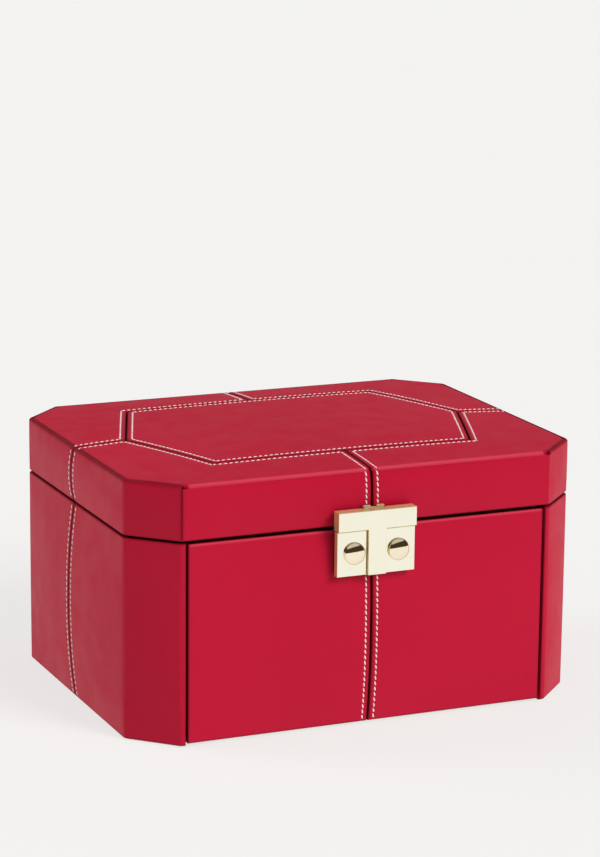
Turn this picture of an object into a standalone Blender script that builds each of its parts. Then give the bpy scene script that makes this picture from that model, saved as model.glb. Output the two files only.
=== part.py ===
"""Octagonal jewellery case with a hinged lid, a drop-down front and a T-shaped hasp.

Metres, +Z up.  The origin is the centre of the base's underside, +X is the long side and
the front faces -Y.  Every sub-part is one closed solid; moving pieces have their origin on
their joint's axis.
"""
import math

import bmesh
import bpy

# ---- driving dimensions -------------------------------------------------------------
WIDTH = 0.2540            # across the left and right arrises
DEPTH = 0.1965            # across the front and rear arrises
CHAMFER = 0.0228          # corner cut, the same both ways
GAP = 0.0003              # air between neighbouring solids
SKIN = 0.0015             # leather with its thin padding, at the edges
BOARD = 0.0060            # case boards
LINING = 0.0010           # suede linings on the board

BODY_BOTTOM = 0.0015      # leather's lower edge
BODY_TOP = 0.1070         # rim of the case body
LID_BOTTOM = 0.1088       # lower edge of the lid
LID_TOP = 0.1375          # the lid's top arris
FELT = 0.0012

SIDE_CROWN = 0.0036       # how far padded panels stand proud of the arrises
CHAMFER_CROWN = 0.0010
SKIRT_CROWN = 0.0018
FLAP_CROWN = 0.0034
TOP_CROWN = 0.0035

FLAP_HALF = 0.1006        # half width of the drop-down front
RETURN_EDGE = 0.1019      # where the corner posts' front returns end
FLAP_BOTTOM = 0.0018
FLAP_TOP = 0.1063

HEX_TIP = 0.0978          # the lid's centre panel: half length to its points
HEX_HALF_X = 0.0735
HEX_HALF_Y = 0.0645
SEAM = 0.0008             # open width of the grooves between leather panels
PLAN_POWER = 2.4          # how square the padding's crown is along a panel ...
WALL_POWER = 2.2          # ... and up a wall

FRONT = -DEPTH / 2
REAR = DEPTH / 2
BOARD_OUT = SKIN + GAP
BOARD_IN = BOARD_OUT + BOARD
BORE_GAP = 0.00015        # radial play of the hinge pins
CLEAR = 0.01              # cutters run this far past the faces they open

# ---- boards -------------------------------------------------------------------------
RIM_DROP = 0.0002         # boards end this far below the leather's rim
PAD_SEAT = LID_TOP - 0.0033    # top of the lid board, under the pads
PAD_BOTTOM = LID_TOP - 0.0030
LID_CEILING = 0.1290      # underside of the lid board's top
FELT_INSET = 0.0090
BASE_FRONT = FRONT + BOARD_IN + 0.0009
REBATE_HALF = 0.0940      # room under the base board for the front's hinge
REBATE_REAR = FRONT + 0.0245
REBATE_TOP = 0.0032
FLAP_BOARD_FACE = FRONT + 0.0028
FLAP_BOARD_BOTTOM = 0.0053
FLAP_BOARD_DROP = 0.0006
FLAP_LINING_HALF = 0.0970
FLAP_LINING_SPAN = (0.0095, 0.1015)

# ---- hinges -------------------------------------------------------------------------
LID_AXIS_Y = REAR + 0.0027
LID_AXIS_Z = 0.1079
LID_HINGE_X = 0.070
LID_BARREL_R = 0.0024
LID_PIN_R = 0.0010
LID_LEAF_T = 0.0006
LID_LEAF_HALF = 0.0150
LID_LEAF_DEPTH = 0.0062
LID_KNUCKLE_HALF = 0.0060    # half length of the lid's middle knuckle
LID_PIN_END = 0.0005         # the pins stand this far out of the knuckles
LEAF_GAP = 0.0001            # between a leaf and the rim it lies on
FLAP_AXIS_Y = FRONT + 0.0032
FLAP_AXIS_Z = 0.0036
FLAP_BARREL_R = 0.0014
FLAP_PIN_R = 0.0006
STRIP_HALF = 0.0900          # the front's strip hinge
STRIP_KNUCKLES = 9
STRIP_GAP = 0.0002
STRIP_BODY_Y = (FLAP_AXIS_Y + 0.0018, FLAP_AXIS_Y + 0.0165)
STRIP_BODY_Z = (0.0020, 0.0028)
STRIP_BODY_WEB = ((FLAP_AXIS_Y, 0.0023), (FLAP_AXIS_Y + 0.0020, 0.0028))
STRIP_SWING_Y = (FRONT + 0.0019, FRONT + 0.0024)
STRIP_SWING_Z = (0.0052, 0.0180)
STRIP_SWING_WEB = ((FRONT + 0.0020, FLAP_AXIS_Z + 0.0003), (FRONT + 0.0023, 0.0055))

# ---- clasp --------------------------------------------------------------------------
CLASP_HALF = 0.0220
BAR_LOW = 0.1075
BAR_HIGH = 0.1177
CLASP_LOW = 0.0834
HASP_FRONT = FRONT - 0.0095
STEM_HALF = 0.0051
BLOCK_FRONT = FRONT - 0.0077
BLOCK_INNER = 0.0055
BLOCK_OUTER = 0.0219
HASP_AXIS_Y = FRONT - 0.0066
HASP_AXIS_Z = 0.0860
HASP_PIN_R = 0.0007
STUD_X = 0.01245
STUD_Z = 0.0953
STUD_R = 0.0059
STUD_TRAVEL = 0.0020
STUD_NECK_R = 0.0019
STUD_NECK_DEPTH = 0.0022
STUD_UNDER = 0.0003          # the dome floats this far off the block
STUD_LIP = 0.0006
STUD_HEIGHT = 0.0030
BAR_BACK = FRONT - 0.0032
STEM_BACK = FRONT - 0.0054
STEM_LAP = 0.0020            # the stem runs this far up into the bar
HASP_PIN_HALF = 0.0086
PIN_HOLE_END = 0.0090
LOCK_PLATE_HALF = 0.0215
LOCK_PLATE_Y = (FRONT - 0.0037, FRONT - 0.0028)
LOCK_PLATE_Z = (0.0840, 0.1048)
BLOCK_DROP = 0.0005          # the blocks end this far below the bar
SLOT_HALF = 0.0023
SLOT_DEPTH = 0.0026
KEEPER_HALF = 0.0059
KEEPER_Y = (FRONT - 0.0045, FRONT - 0.0022)
KEEPER_Z = (0.1121, 0.1190)
RECESS_HALF = 0.0064         # the bar's recess for the keeper
RECESS_FRONT = FRONT - 0.0048
RECESS_BOTTOM = 0.1115
SMALL_ROUND = 0.0006
STEM_ROUND = 0.0009
BAR_ROUND = 0.0007

# ---- inside -------------------------------------------------------------------------
BASE_TOP = 0.0085
PARTITION_X = 0.0995
PARTITION_T = 0.0030
DRAWER_FRONT = FRONT + 0.0182
DRAWER_REAR = REAR - 0.0102
DRAWER_HALF = PARTITION_X - GAP
DRAWER_WALL = 0.0030
DRAWER_FLOOR = 0.0025
LOWER_DRAWER = (0.0090, 0.0385)
UPPER_DRAWER = (0.0418, 0.0708)
SHELF = (0.0389, 0.0414)
DECK = (0.0713, 0.0738)
TRAY = (0.0741, 0.1055)
TRAY_FLOOR = 0.0025
TRAY_FRONT = FRONT + 0.0108
TRAY_INSET = BOARD_IN + 0.0009
RING_BAY = ((-0.055, -0.084), (0.055, -0.002))
WELLS = {"left_well": ((-0.1150, -0.070), (-0.058, 0.070)),
         "right_well": ((0.058, -0.070), (0.1150, 0.070)),
         "ring_well": RING_BAY,
         "rear_left_well": ((-0.055, 0.001), (-0.0015, 0.086)),
         "rear_right_well": ((0.0015, 0.001), (0.055, 0.086))}
ROLLS = 5
ROLL_PITCH = 0.0160
ROLL_R = 0.0068
ROLL_Z = 0.0160              # roll axes above the cushion's underside
CUSHION_BASE = 0.0120
CUSHION_PLAY = 0.0005
PARTITION_FRONT = FRONT + 0.0105
PARTITION_REAR_GAP = 0.0020
SHELF_FRONT = FRONT + 0.0160
KNOB_PROFILE = [(0.0022, 0.0), (0.0016, 0.0022), (0.0040, 0.0040),
                (0.0038, 0.0052), (0.0018, 0.0060)]
LID_LINING_INSET = BOARD_IN + 0.0006
LID_LINING = (0.1277, 0.1287)
FRAME_HALF = (0.0800, 0.0550)
FRAME_Z = (0.1243, 0.1274)
FRAME_ROUND = 0.0008
MIRROR_HALF = (0.0742, 0.0492)
MIRROR_PLAY = 0.0003
MIRROR_Z = (0.1248, 0.1261)


# ---- scene helpers ------------------------------------------------------------------
def fresh_collections():
    for old in list(bpy.data.objects):
        bpy.data.objects.remove(old, do_unlink=True)
    made = []
    for name in ("jewellery_case", "cutters"):
        coll = bpy.data.collections.new(name)
        bpy.context.scene.collection.children.link(coll)
        made.append(coll)
    return made


PARTS, CUTTERS = fresh_collections()


def material(name, colour, roughness, metallic=0.0):
    mat = bpy.data.materials.new(name)
    mat.use_nodes = True
    shader = mat.node_tree.nodes["Principled BSDF"]
    shader.inputs["Base Color"].default_value = (*colour, 1.0)
    shader.inputs["Roughness"].default_value = roughness
    shader.inputs["Metallic"].default_value = metallic
    return mat


LEATHER = ("leather", (0.42, 0.012, 0.035), 0.45)
BOARD_MAT = ("board", (0.36, 0.25, 0.16), 0.8)
SUEDE = ("suede", (0.62, 0.52, 0.42), 0.95)
FELT_MAT = ("felt", (0.10, 0.02, 0.03), 1.0)
GOLD = ("gold", (0.90, 0.72, 0.42), 0.18, 1.0)
BRASS = ("brass", (0.80, 0.60, 0.30), 0.3, 1.0)
GLASS = ("mirror_glass", (0.92, 0.93, 0.94), 0.03, 1.0)


def finish(obj, look, pivot=None):
    """Give the object its own material and collection, and put its origin on its pivot."""
    for coll in list(obj.users_collection):
        coll.objects.unlink(obj)
    PARTS.objects.link(obj)
    base, *values = look
    obj.data.materials.clear()
    obj.data.materials.append(material(f"{obj.name}_{base}", *values))
    if pivot is not None:
        shift = [pivot[k] - obj.location[k] for k in range(3)]
        for vert in obj.data.vertices:
            for k in range(3):
                vert.co[k] -= shift[k]
        obj.location = pivot
    return obj


def as_cutter(obj):
    for coll in list(obj.users_collection):
        coll.objects.unlink(obj)
    CUTTERS.objects.link(obj)
    obj.hide_render = True
    obj.display_type = "WIRE"
    return obj


def box(name, low, high):
    """A box between two corners, with its size applied to the mesh."""
    size = [high[k] - low[k] for k in range(3)]
    middle = [(high[k] + low[k]) / 2 for k in range(3)]
    bpy.ops.mesh.primitive_cube_add(size=1.0)
    obj = bpy.context.object
    obj.name = name
    for vert in obj.data.vertices:
        for k in range(3):
            vert.co[k] = vert.co[k] * size[k] + middle[k]
    return obj


def rod(name, radius, start_x, end_x, y, z, sides=16):
    """A cylinder along X."""
    bpy.ops.mesh.primitive_cylinder_add(
        vertices=sides, radius=radius, depth=end_x - start_x,
        location=((start_x + end_x) / 2, y, z), rotation=(0, math.pi / 2, 0))
    obj = bpy.context.object
    obj.name = name
    bpy.ops.object.transform_apply(location=True, rotation=True, scale=True)
    return obj


def plate(name, outline, low, high):
    """A flat outline in plan, extruded between two heights, as a closed mesh."""
    curve = bpy.data.curves.new(name, "CURVE")
    curve.dimensions = "2D"
    curve.fill_mode = "BOTH"
    curve.extrude = (high - low) / 2
    spline = curve.splines.new("POLY")
    spline.points.add(len(outline) - 1)
    for point, (x, y) in zip(spline.points, outline):
        point.co = (x, y, 0.0, 1.0)
    spline.use_cyclic_u = True
    source = bpy.data.objects.new(name + "_curve", curve)
    source.location = (0, 0, (high + low) / 2)
    bpy.context.scene.collection.objects.link(source)
    bpy.context.view_layer.update()
    graph = bpy.context.evaluated_depsgraph_get()
    mesh = bpy.data.meshes.new_from_object(source.evaluated_get(graph))
    mesh.transform(source.matrix_world)
    bpy.data.objects.remove(source, do_unlink=True)
    soft = bmesh.new()
    soft.from_mesh(mesh)
    bmesh.ops.remove_doubles(soft, verts=soft.verts, dist=1e-6)
    bmesh.ops.recalc_face_normals(soft, faces=soft.faces)
    soft.to_mesh(mesh)
    soft.free()
    obj = bpy.data.objects.new(name, mesh)
    bpy.context.scene.collection.objects.link(obj)
    return obj


def boolean(obj, tool, operation):
    mod = obj.modifiers.new(tool.name, "BOOLEAN")
    mod.operation = operation
    mod.solver = "EXACT"
    mod.object = as_cutter(tool)
    return obj


def cut(obj, tool):
    return boolean(obj, tool, "DIFFERENCE")


def join(obj, tool):
    return boolean(obj, tool, "UNION")


def bevel(obj, width, segments=2, angle=40.0):
    mod = obj.modifiers.new("edges", "BEVEL")
    mod.width = width
    mod.segments = segments
    mod.limit_method = "ANGLE"
    mod.angle_limit = math.radians(angle)
    return obj


# ---- outlines -----------------------------------------------------------------------
def octagon(inset, front=None):
    """The case's plan at an inset, anticlockwise from the front right arris."""
    half_x = WIDTH / 2 - inset
    half_y = DEPTH / 2 - inset
    corner = CHAMFER - inset * (2 - math.sqrt(2))
    points = [(half_x - corner, -half_y), (half_x, corner - half_y),
              (half_x, half_y - corner), (half_x - corner, half_y),
              (corner - half_x, half_y), (-half_x, half_y - corner),
              (-half_x, corner - half_y), (corner - half_x, -half_y)]
    if front is not None:
        side = half_x - corner + max(0.0, front + half_y)
        points[0] = (side, front)
        points[7] = (-side, front)
    return points


def mirrored(points):
    """The same outline on the other side of X = 0, still anticlockwise."""
    return [(-x, y) for x, y in reversed(points)]


def swell(offset, half, power=PLAN_POWER):
    """1 in the middle of a padded span, 0 at its ends."""
    return max(0.0, 1.0 - abs(offset / half) ** power)


# ---- leather skins ------------------------------------------------------------------
def wall_skin(name, path, low, high, crown, rows=6):
    """A padded skin round the case's outside.

    path is a list of (x, y, normal_x, normal_y, swell) stations in plan, walked so that the
    outside is on the right hand; each row is pushed out along the normal by the swell.
    """
    soft = bmesh.new()
    bmesh.ops.create_grid(soft, x_segments=len(path) - 1, y_segments=rows, size=1.0)
    columns = len(path) - 1
    middle = (low + high) / 2
    half = (high - low) / 2
    for vert in soft.verts:
        station = path[round((vert.co.x + 1) / 2 * columns)]
        z = middle + half * vert.co.y
        x, y, nx, ny, amount = station
        out = crown * amount * swell(z - middle, half, WALL_POWER)
        vert.co = (x + nx * out, y + ny * out, z)
    mesh = bpy.data.meshes.new(name)
    soft.to_mesh(mesh)
    soft.free()
    obj = bpy.data.objects.new(name, mesh)
    bpy.context.scene.collection.objects.link(obj)
    shell = obj.modifiers.new("thickness", "SOLIDIFY")
    shell.thickness = SKIN
    shell.offset = -1.0
    shell.use_even_offset = True
    return finish(obj, LEATHER)


def span(start, end, normal, crown_centre, crown_half, scale, steps):
    """Stations from start to end; the swell follows the distance from crown_centre."""
    stations = []
    for k in range(steps + 1):
        t = k / steps
        x = start[0] + (end[0] - start[0]) * t
        y = start[1] + (end[1] - start[1]) * t
        away = math.hypot(x - crown_centre[0], y - crown_centre[1])
        stations.append((x, y, normal[0], normal[1], scale * swell(away, crown_half)))
    return stations


def wrap_path(side, quarter, crown, front_start):
    """Plan stations of one quarter's skin; side is -1 for left and 1 for right."""
    half_x, half_y = WIDTH / 2, DEPTH / 2
    flat_x, flat_y = half_x - CHAMFER, half_y - CHAMFER
    sign = -1 if quarter == "front" else 1
    diagonal = math.sqrt(0.5)
    cut_mid = (side * (half_x - CHAMFER / 2), sign * (half_y - CHAMFER / 2))
    cut_half = CHAMFER * diagonal
    end = (side * front_start, sign * half_y)
    arris_end = (side * flat_x, sign * half_y)
    arris_side = (side * half_x, sign * flat_y)
    seam = (side * half_x, sign * SEAM / 2)
    stations = span(end, arris_end, (0, sign), (0, sign * half_y), flat_x, 1.0,
                    1 if front_start > SEAM else 6)
    stations += span(arris_end, arris_side, (side * diagonal, sign * diagonal), cut_mid,
                     cut_half, CHAMFER_CROWN / crown, 4)[1:]
    stations += span(arris_side, seam, (side, 0), (side * half_x, 0), flat_y, 1.0, 6)[1:]
    if side * sign < 0:
        return stations
    return stations[::-1]


def build_skins():
    for side, hand in ((-1, "left"), (1, "right")):
        wall_skin(f"front_{hand}_skin", wrap_path(side, "front", SIDE_CROWN, RETURN_EDGE),
                  BODY_BOTTOM, BODY_TOP, SIDE_CROWN)
        wall_skin(f"rear_{hand}_skin", wrap_path(side, "rear", SIDE_CROWN, SEAM / 2),
                  BODY_BOTTOM, BODY_TOP, SIDE_CROWN)
        for quarter in ("front", "rear"):
            wall_skin(f"lid_{quarter}_{hand}_skin",
                      wrap_path(side, quarter, SKIRT_CROWN, SEAM / 2),
                      LID_BOTTOM, PAD_SEAT, SKIRT_CROWN, rows=4)
        start, end = (side * SEAM / 2, FRONT), (side * FLAP_HALF, FRONT)
        path = span(start, end, (0, -1), (0, FRONT), FLAP_HALF, 1.0, 8)
        if side < 0:
            path = path[::-1]
        wall_skin(f"flap_{hand}_skin", path, FLAP_BOTTOM, FLAP_TOP, FLAP_CROWN)


# ---- boards -------------------------------------------------------------------------
def between(outer, inner, k):
    """One octagon side between two insets, its mitres shortened by half the gap."""
    a, b = outer[k], outer[(k + 1) % 8]
    c, d = inner[(k + 1) % 8], inner[k]
    length = math.hypot(b[0] - a[0], b[1] - a[1])
    ux, uy = (b[0] - a[0]) / length * GAP / 2, (b[1] - a[1]) / length * GAP / 2
    return [(a[0] + ux, a[1] + uy), (b[0] - ux, b[1] - uy),
            (c[0] - ux, c[1] - uy), (d[0] + ux, d[1] + uy)]


def build_boards():
    outer, inner = octagon(BOARD_OUT), octagon(BOARD_IN)
    low, high = BODY_BOTTOM + GAP, BODY_TOP - RIM_DROP
    for k, name in ((1, "right_board"), (3, "rear_board"), (5, "left_board"),
                    (2, "rear_right_post"), (4, "rear_left_post")):
        finish(plate(name, between(outer, inner, k), low, high), BOARD_MAT)
    quad = between(outer, inner, 0)
    run = quad[3][0] - RETURN_EDGE
    post = [(RETURN_EDGE, outer[0][1]), outer[0], quad[1], quad[2],
            (RETURN_EDGE, quad[3][1] - run)]
    finish(plate("front_right_post", post, low, high), BOARD_MAT)
    finish(plate("front_left_post", mirrored(post), low, high), BOARD_MAT)
    finish(plate("base_felt", octagon(FELT_INSET), 0.0, FELT), FELT_MAT)
    base = plate("base_board", octagon(BOARD_IN + GAP, BASE_FRONT), BODY_BOTTOM, BASE_TOP)
    cut(base, box("hinge_rebate", (-REBATE_HALF, FRONT, 0.0),
                  (REBATE_HALF, REBATE_REAR, REBATE_TOP)))
    finish(base, BOARD_MAT)


# ---- inside -------------------------------------------------------------------------
def build_bay():
    rear = REAR - BOARD_IN - GAP
    for side, hand in ((-1, "left"), (1, "right")):
        inner = side * PARTITION_X
        outer = side * (PARTITION_X + PARTITION_T)
        finish(box(f"{hand}_partition", (min(inner, outer), PARTITION_FRONT, BASE_TOP + GAP),
                   (max(inner, outer), rear - PARTITION_REAR_GAP, DECK[0] - GAP)), SUEDE)
    finish(box("drawer_shelf", (-DRAWER_HALF, SHELF_FRONT, SHELF[0]),
               (DRAWER_HALF, rear - GAP, SHELF[1])), SUEDE)
    finish(plate("tray_deck", octagon(BOARD_IN + GAP, TRAY_FRONT), *DECK), SUEDE)


def build_drawer(name, levels):
    low, high = levels
    body = box(name, (-DRAWER_HALF + GAP, DRAWER_FRONT, low),
               (DRAWER_HALF - GAP, DRAWER_REAR, high))
    cut(body, box(name + "_hollow",
                  (-DRAWER_HALF + DRAWER_WALL, DRAWER_FRONT + DRAWER_WALL, low + DRAWER_FLOOR),
                  (DRAWER_HALF - DRAWER_WALL, DRAWER_REAR - DRAWER_WALL, high + CLEAR)))
    finish(body, SUEDE)
    knob = turned(name + "_knob", KNOB_PROFILE, 16)
    knob.location = (0, DRAWER_FRONT - GAP, (low + high) / 2)
    finish(knob, GOLD)


def build_tray():
    tray = plate("top_tray", octagon(TRAY_INSET, TRAY_FRONT), *TRAY)
    for name, (low, high) in WELLS.items():
        cut(tray, box(name, (*low, TRAY[0] + TRAY_FLOOR), (*high, TRAY[1] + CLEAR)))
    finish(tray, SUEDE)
    (x_low, y_low), (x_high, y_high) = RING_BAY
    play = CUSHION_PLAY
    bed = TRAY[0] + TRAY_FLOOR + GAP
    cushion = box("ring_cushion", (x_low + play, y_low + play, bed),
                  (x_high - play, y_high - play, bed + CUSHION_BASE))
    middle = (y_low + y_high) / 2
    for k in range(ROLLS):
        y = middle + (k - (ROLLS - 1) / 2) * ROLL_PITCH
        join(cushion, rod(f"roll_{k}", ROLL_R, x_low + play + GAP, x_high - play - GAP, y,
                          bed + ROLL_Z))
    finish(cushion, SUEDE)


# ---- turned pieces ------------------------------------------------------------------
def turned(name, profile, steps=24):
    """A solid of revolution whose axis is -Y; profile is (radius, distance out)."""
    points = [(0.0, profile[0][1])] + list(profile) + [(0.0, profile[-1][1])]
    mesh = bpy.data.meshes.new(name)
    verts = [(radius, -out, 0.0) for radius, out in points]
    mesh.from_pydata(verts, [(k, k + 1) for k in range(len(verts) - 1)], [])
    obj = bpy.data.objects.new(name, mesh)
    bpy.context.scene.collection.objects.link(obj)
    spin = obj.modifiers.new("turn", "SCREW")
    spin.axis = "Y"
    spin.angle = math.tau
    spin.steps = steps
    spin.render_steps = steps
    spin.use_merge_vertices = True
    spin.merge_threshold = 1e-6
    spin.use_normal_calculate = True
    return obj


# ---- hinges -------------------------------------------------------------------------
def knuckled_leaf(name, blade, webs, spans, axis_y, axis_z, barrel, bore):
    """A hinge leaf: a flat blade, webs and knuckles on the axis, and the pin's bore."""
    leaf = box(name, *blade)
    for k, (start, end) in enumerate(spans):
        low, high = webs
        join(leaf, box(f"{name}_web_{k}", (start, low[0], low[1]), (end, high[0], high[1])))
        join(leaf, rod(f"{name}_knuckle_{k}", barrel, start, end, axis_y, axis_z))
    cut(leaf, rod(name + "_bore", bore, blade[0][0] - CLEAR, blade[1][0] + CLEAR,
                  axis_y, axis_z))
    return leaf


def build_lid_hinges():
    pivot = (0.0, LID_AXIS_Y, LID_AXIS_Z)
    blade_y = (REAR - LID_LEAF_DEPTH, REAR + LEAF_GAP)
    body_z = (BODY_TOP + LEAF_GAP, BODY_TOP + LEAF_GAP + LID_LEAF_T)
    lid_z = (LID_BOTTOM - LEAF_GAP - LID_LEAF_T, LID_BOTTOM - LEAF_GAP)
    split = LID_KNUCKLE_HALF + STRIP_GAP
    for side, hand in ((-1, "left"), (1, "right")):
        x = side * LID_HINGE_X
        left, right = x - LID_LEAF_HALF, x + LID_LEAF_HALF
        outer = [(left, x - split), (x + split, right)]
        middle = [(x - LID_KNUCKLE_HALF, x + LID_KNUCKLE_HALF)]
        for name, z, spans, axis in (("body_leaf", body_z, outer, None),
                                     ("lid_leaf", lid_z, middle, pivot)):
            leaf = knuckled_leaf(
                f"hinge_{hand}_{name}",
                ((left, blade_y[0], z[0]), (right, blade_y[1], z[1])),
                ((blade_y[0], z[0]), (LID_AXIS_Y, z[1])), spans,
                LID_AXIS_Y, LID_AXIS_Z, LID_BARREL_R, LID_PIN_R + BORE_GAP)
            finish(leaf, BRASS, axis)
        finish(rod(f"hinge_{hand}_pin", LID_PIN_R, left - LID_PIN_END, right + LID_PIN_END,
                   LID_AXIS_Y, LID_AXIS_Z), BRASS)


def build_flap_hinge():
    """A long strip hinge under the front: its knuckles alternate along the pin."""
    pitch = 2 * STRIP_HALF / STRIP_KNUCKLES
    spans = [(-STRIP_HALF + k * pitch + STRIP_GAP, -STRIP_HALF + (k + 1) * pitch - STRIP_GAP)
             for k in range(STRIP_KNUCKLES)]
    pivot = (0.0, FLAP_AXIS_Y, FLAP_AXIS_Z)
    for name, y, z, web, turn, axis in (
            ("flap_hinge_body_leaf", STRIP_BODY_Y, STRIP_BODY_Z, STRIP_BODY_WEB, 0, None),
            ("flap_hinge_front_leaf", STRIP_SWING_Y, STRIP_SWING_Z, STRIP_SWING_WEB, 1, pivot)):
        leaf = knuckled_leaf(
            name, ((-STRIP_HALF, y[0], z[0]), (STRIP_HALF, y[1], z[1])), web, spans[turn::2],
            FLAP_AXIS_Y, FLAP_AXIS_Z, FLAP_BARREL_R, FLAP_PIN_R + BORE_GAP)
        finish(leaf, BRASS, axis)
    finish(rod("flap_hinge_pin", FLAP_PIN_R, -STRIP_HALF, STRIP_HALF,
               FLAP_AXIS_Y, FLAP_AXIS_Z), BRASS)


# ---- front flap ---------------------------------------------------------------------
def build_flap():
    pivot = (0.0, FLAP_AXIS_Y, FLAP_AXIS_Z)
    half = FLAP_HALF - GAP
    inner = FRONT + BOARD_IN
    finish(box("flap_board", (-half, FLAP_BOARD_FACE, FLAP_BOARD_BOTTOM),
               (half, inner, FLAP_TOP - FLAP_BOARD_DROP)), BOARD_MAT, pivot)
    low, high = FLAP_LINING_SPAN
    lining = box("flap_lining", (-FLAP_LINING_HALF, inner + GAP, low),
                 (FLAP_LINING_HALF, inner + GAP + LINING, high))
    finish(bevel(lining, GAP, 1), SUEDE, pivot)
    for hand in ("left", "right"):
        skin = bpy.data.objects[f"flap_{hand}_skin"]
        finish(skin, LEATHER, pivot)


# ---- clasp --------------------------------------------------------------------------
def build_clasp():
    pivot = (0.0, FLAP_AXIS_Y, FLAP_AXIS_Z)
    plate_front, plate_back = LOCK_PLATE_Y
    finish(box("lock_plate", (-LOCK_PLATE_HALF, plate_front, LOCK_PLATE_Z[0]),
               (LOCK_PLATE_HALF, plate_back, LOCK_PLATE_Z[1])), GOLD, pivot)
    for side, hand in ((-1, "left"), (1, "right")):
        xs = sorted((side * BLOCK_INNER, side * BLOCK_OUTER))
        block = box(f"lock_block_{hand}", (xs[0], BLOCK_FRONT, CLASP_LOW),
                    (xs[1], plate_front - GAP, BAR_LOW - BLOCK_DROP))
        bevel(block, SMALL_ROUND, 2)
        slot = sorted((side * (STUD_X - SLOT_HALF), side * (STUD_X + STUD_TRAVEL + SLOT_HALF)))
        cut(block, box(f"slot_{hand}", (slot[0], BLOCK_FRONT - CLEAR, STUD_Z - SLOT_HALF),
                       (slot[1], BLOCK_FRONT + SLOT_DEPTH, STUD_Z + SLOT_HALF)))
        hole = sorted((side * (BLOCK_INNER - SMALL_ROUND), side * PIN_HOLE_END))
        cut(block, rod(f"pin_hole_{hand}", HASP_PIN_R + BORE_GAP, hole[0], hole[1],
                       HASP_AXIS_Y, HASP_AXIS_Z))
        finish(block, GOLD, pivot)
        stud = turned(f"stud_{hand}", stud_profile(), 28)
        stud.location = (side * STUD_X, BLOCK_FRONT, STUD_Z)
        finish(stud, GOLD)
    finish(rod("hasp_pin", HASP_PIN_R, -HASP_PIN_HALF, HASP_PIN_HALF, HASP_AXIS_Y, HASP_AXIS_Z),
           BRASS, pivot)
    build_hasp()


def stud_profile():
    """Neck in the slot, then a low dome: (radius, distance out from the block's front)."""
    shoulder = STUD_UNDER + STUD_LIP
    profile = [(STUD_NECK_R, -STUD_NECK_DEPTH), (STUD_NECK_R, STUD_UNDER),
               (STUD_R, STUD_UNDER), (STUD_R, shoulder)]
    steps = 5
    flat_tip = 0.6           # the last facet stops short of the pole
    for k in range(1, steps + 1):
        turn = math.pi / 2 * k / (steps + flat_tip)
        profile.append((STUD_R * math.cos(turn),
                        shoulder + (STUD_HEIGHT - STUD_LIP) * math.sin(turn)))
    return profile


def build_hasp():
    """The T: a cross bar over the rim and a stem down to the pin between the blocks."""
    hasp = box("hasp", (-CLASP_HALF, HASP_FRONT, BAR_LOW), (CLASP_HALF, BAR_BACK, BAR_HIGH))
    stem = box("stem", (-STEM_HALF, HASP_FRONT, CLASP_LOW),
               (STEM_HALF, STEM_BACK, BAR_LOW + STEM_LAP))
    bevel(stem, STEM_ROUND, 2)
    bevel(hasp, BAR_ROUND, 2)
    join(hasp, stem)
    cut(hasp, box("keeper_recess", (-RECESS_HALF, RECESS_FRONT, RECESS_BOTTOM),
                  (RECESS_HALF, FRONT, BAR_HIGH + CLEAR)))
    cut(hasp, rod("stem_bore", HASP_PIN_R + BORE_GAP, -CLEAR, CLEAR, HASP_AXIS_Y, HASP_AXIS_Z))
    finish(hasp, GOLD, (0.0, HASP_AXIS_Y, HASP_AXIS_Z))
    keeper = box("keeper", (-KEEPER_HALF, KEEPER_Y[0], KEEPER_Z[0]),
                 (KEEPER_HALF, KEEPER_Y[1], KEEPER_Z[1]))
    finish(bevel(keeper, SMALL_ROUND, 2), GOLD)


# ---- lid ----------------------------------------------------------------------------
def lid_dome():
    """The crowned surface that trims every pad on the lid."""
    soft = bmesh.new()
    bmesh.ops.create_grid(soft, x_segments=12, y_segments=10, size=1.0)
    for vert in soft.verts:
        x, y = vert.co.x * (WIDTH / 2 + CLEAR), vert.co.y * (DEPTH / 2 + CLEAR)
        rise = TOP_CROWN * swell(x, WIDTH / 2) * swell(y, DEPTH / 2)
        vert.co = (x, y, LID_TOP + rise)
    mesh = bpy.data.meshes.new("lid_dome")
    soft.to_mesh(mesh)
    soft.free()
    dome = bpy.data.objects.new("lid_dome", mesh)
    bpy.context.scene.collection.objects.link(dome)
    thick = dome.modifiers.new("down", "SOLIDIFY")
    thick.thickness = 2 * CLEAR
    thick.offset = -1.0
    return as_cutter(dome)


def pad_outlines():
    """Plan outlines of the hexagon and of the four outer pads round it."""
    half = SEAM / 2
    slope = math.atan2(HEX_HALF_Y, HEX_TIP - HEX_HALF_X)
    along = half / math.sin(slope)
    corner = half * math.tan(slope / 2)

    def hexagon(sign):
        tip = HEX_TIP + sign * along
        wide = HEX_HALF_X + sign * corner
        deep = HEX_HALF_Y + sign * half
        return tip, wide, deep

    tip, wide, deep = hexagon(-1)
    outlines = {"lid_hexagon_pad": [(tip, 0), (wide, deep), (-wide, deep), (-tip, 0),
                                    (-wide, -deep), (wide, -deep)]}
    tip, wide, deep = hexagon(1)
    edge = octagon(RIM_DROP)
    tip_y = half
    tip_x = tip - tip_y / math.tan(slope)
    rear_right = [(tip_x, tip_y), (edge[2][0], tip_y), edge[2], edge[3], (half, edge[3][1]),
                  (half, deep), (wide, deep)]
    rear_left = mirrored(rear_right)
    outlines["lid_rear_right_pad"] = rear_right
    outlines["lid_rear_left_pad"] = rear_left
    outlines["lid_front_left_pad"] = [(-x, -y) for x, y in rear_right]
    outlines["lid_front_right_pad"] = [(-x, -y) for x, y in rear_left]
    return outlines


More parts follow.
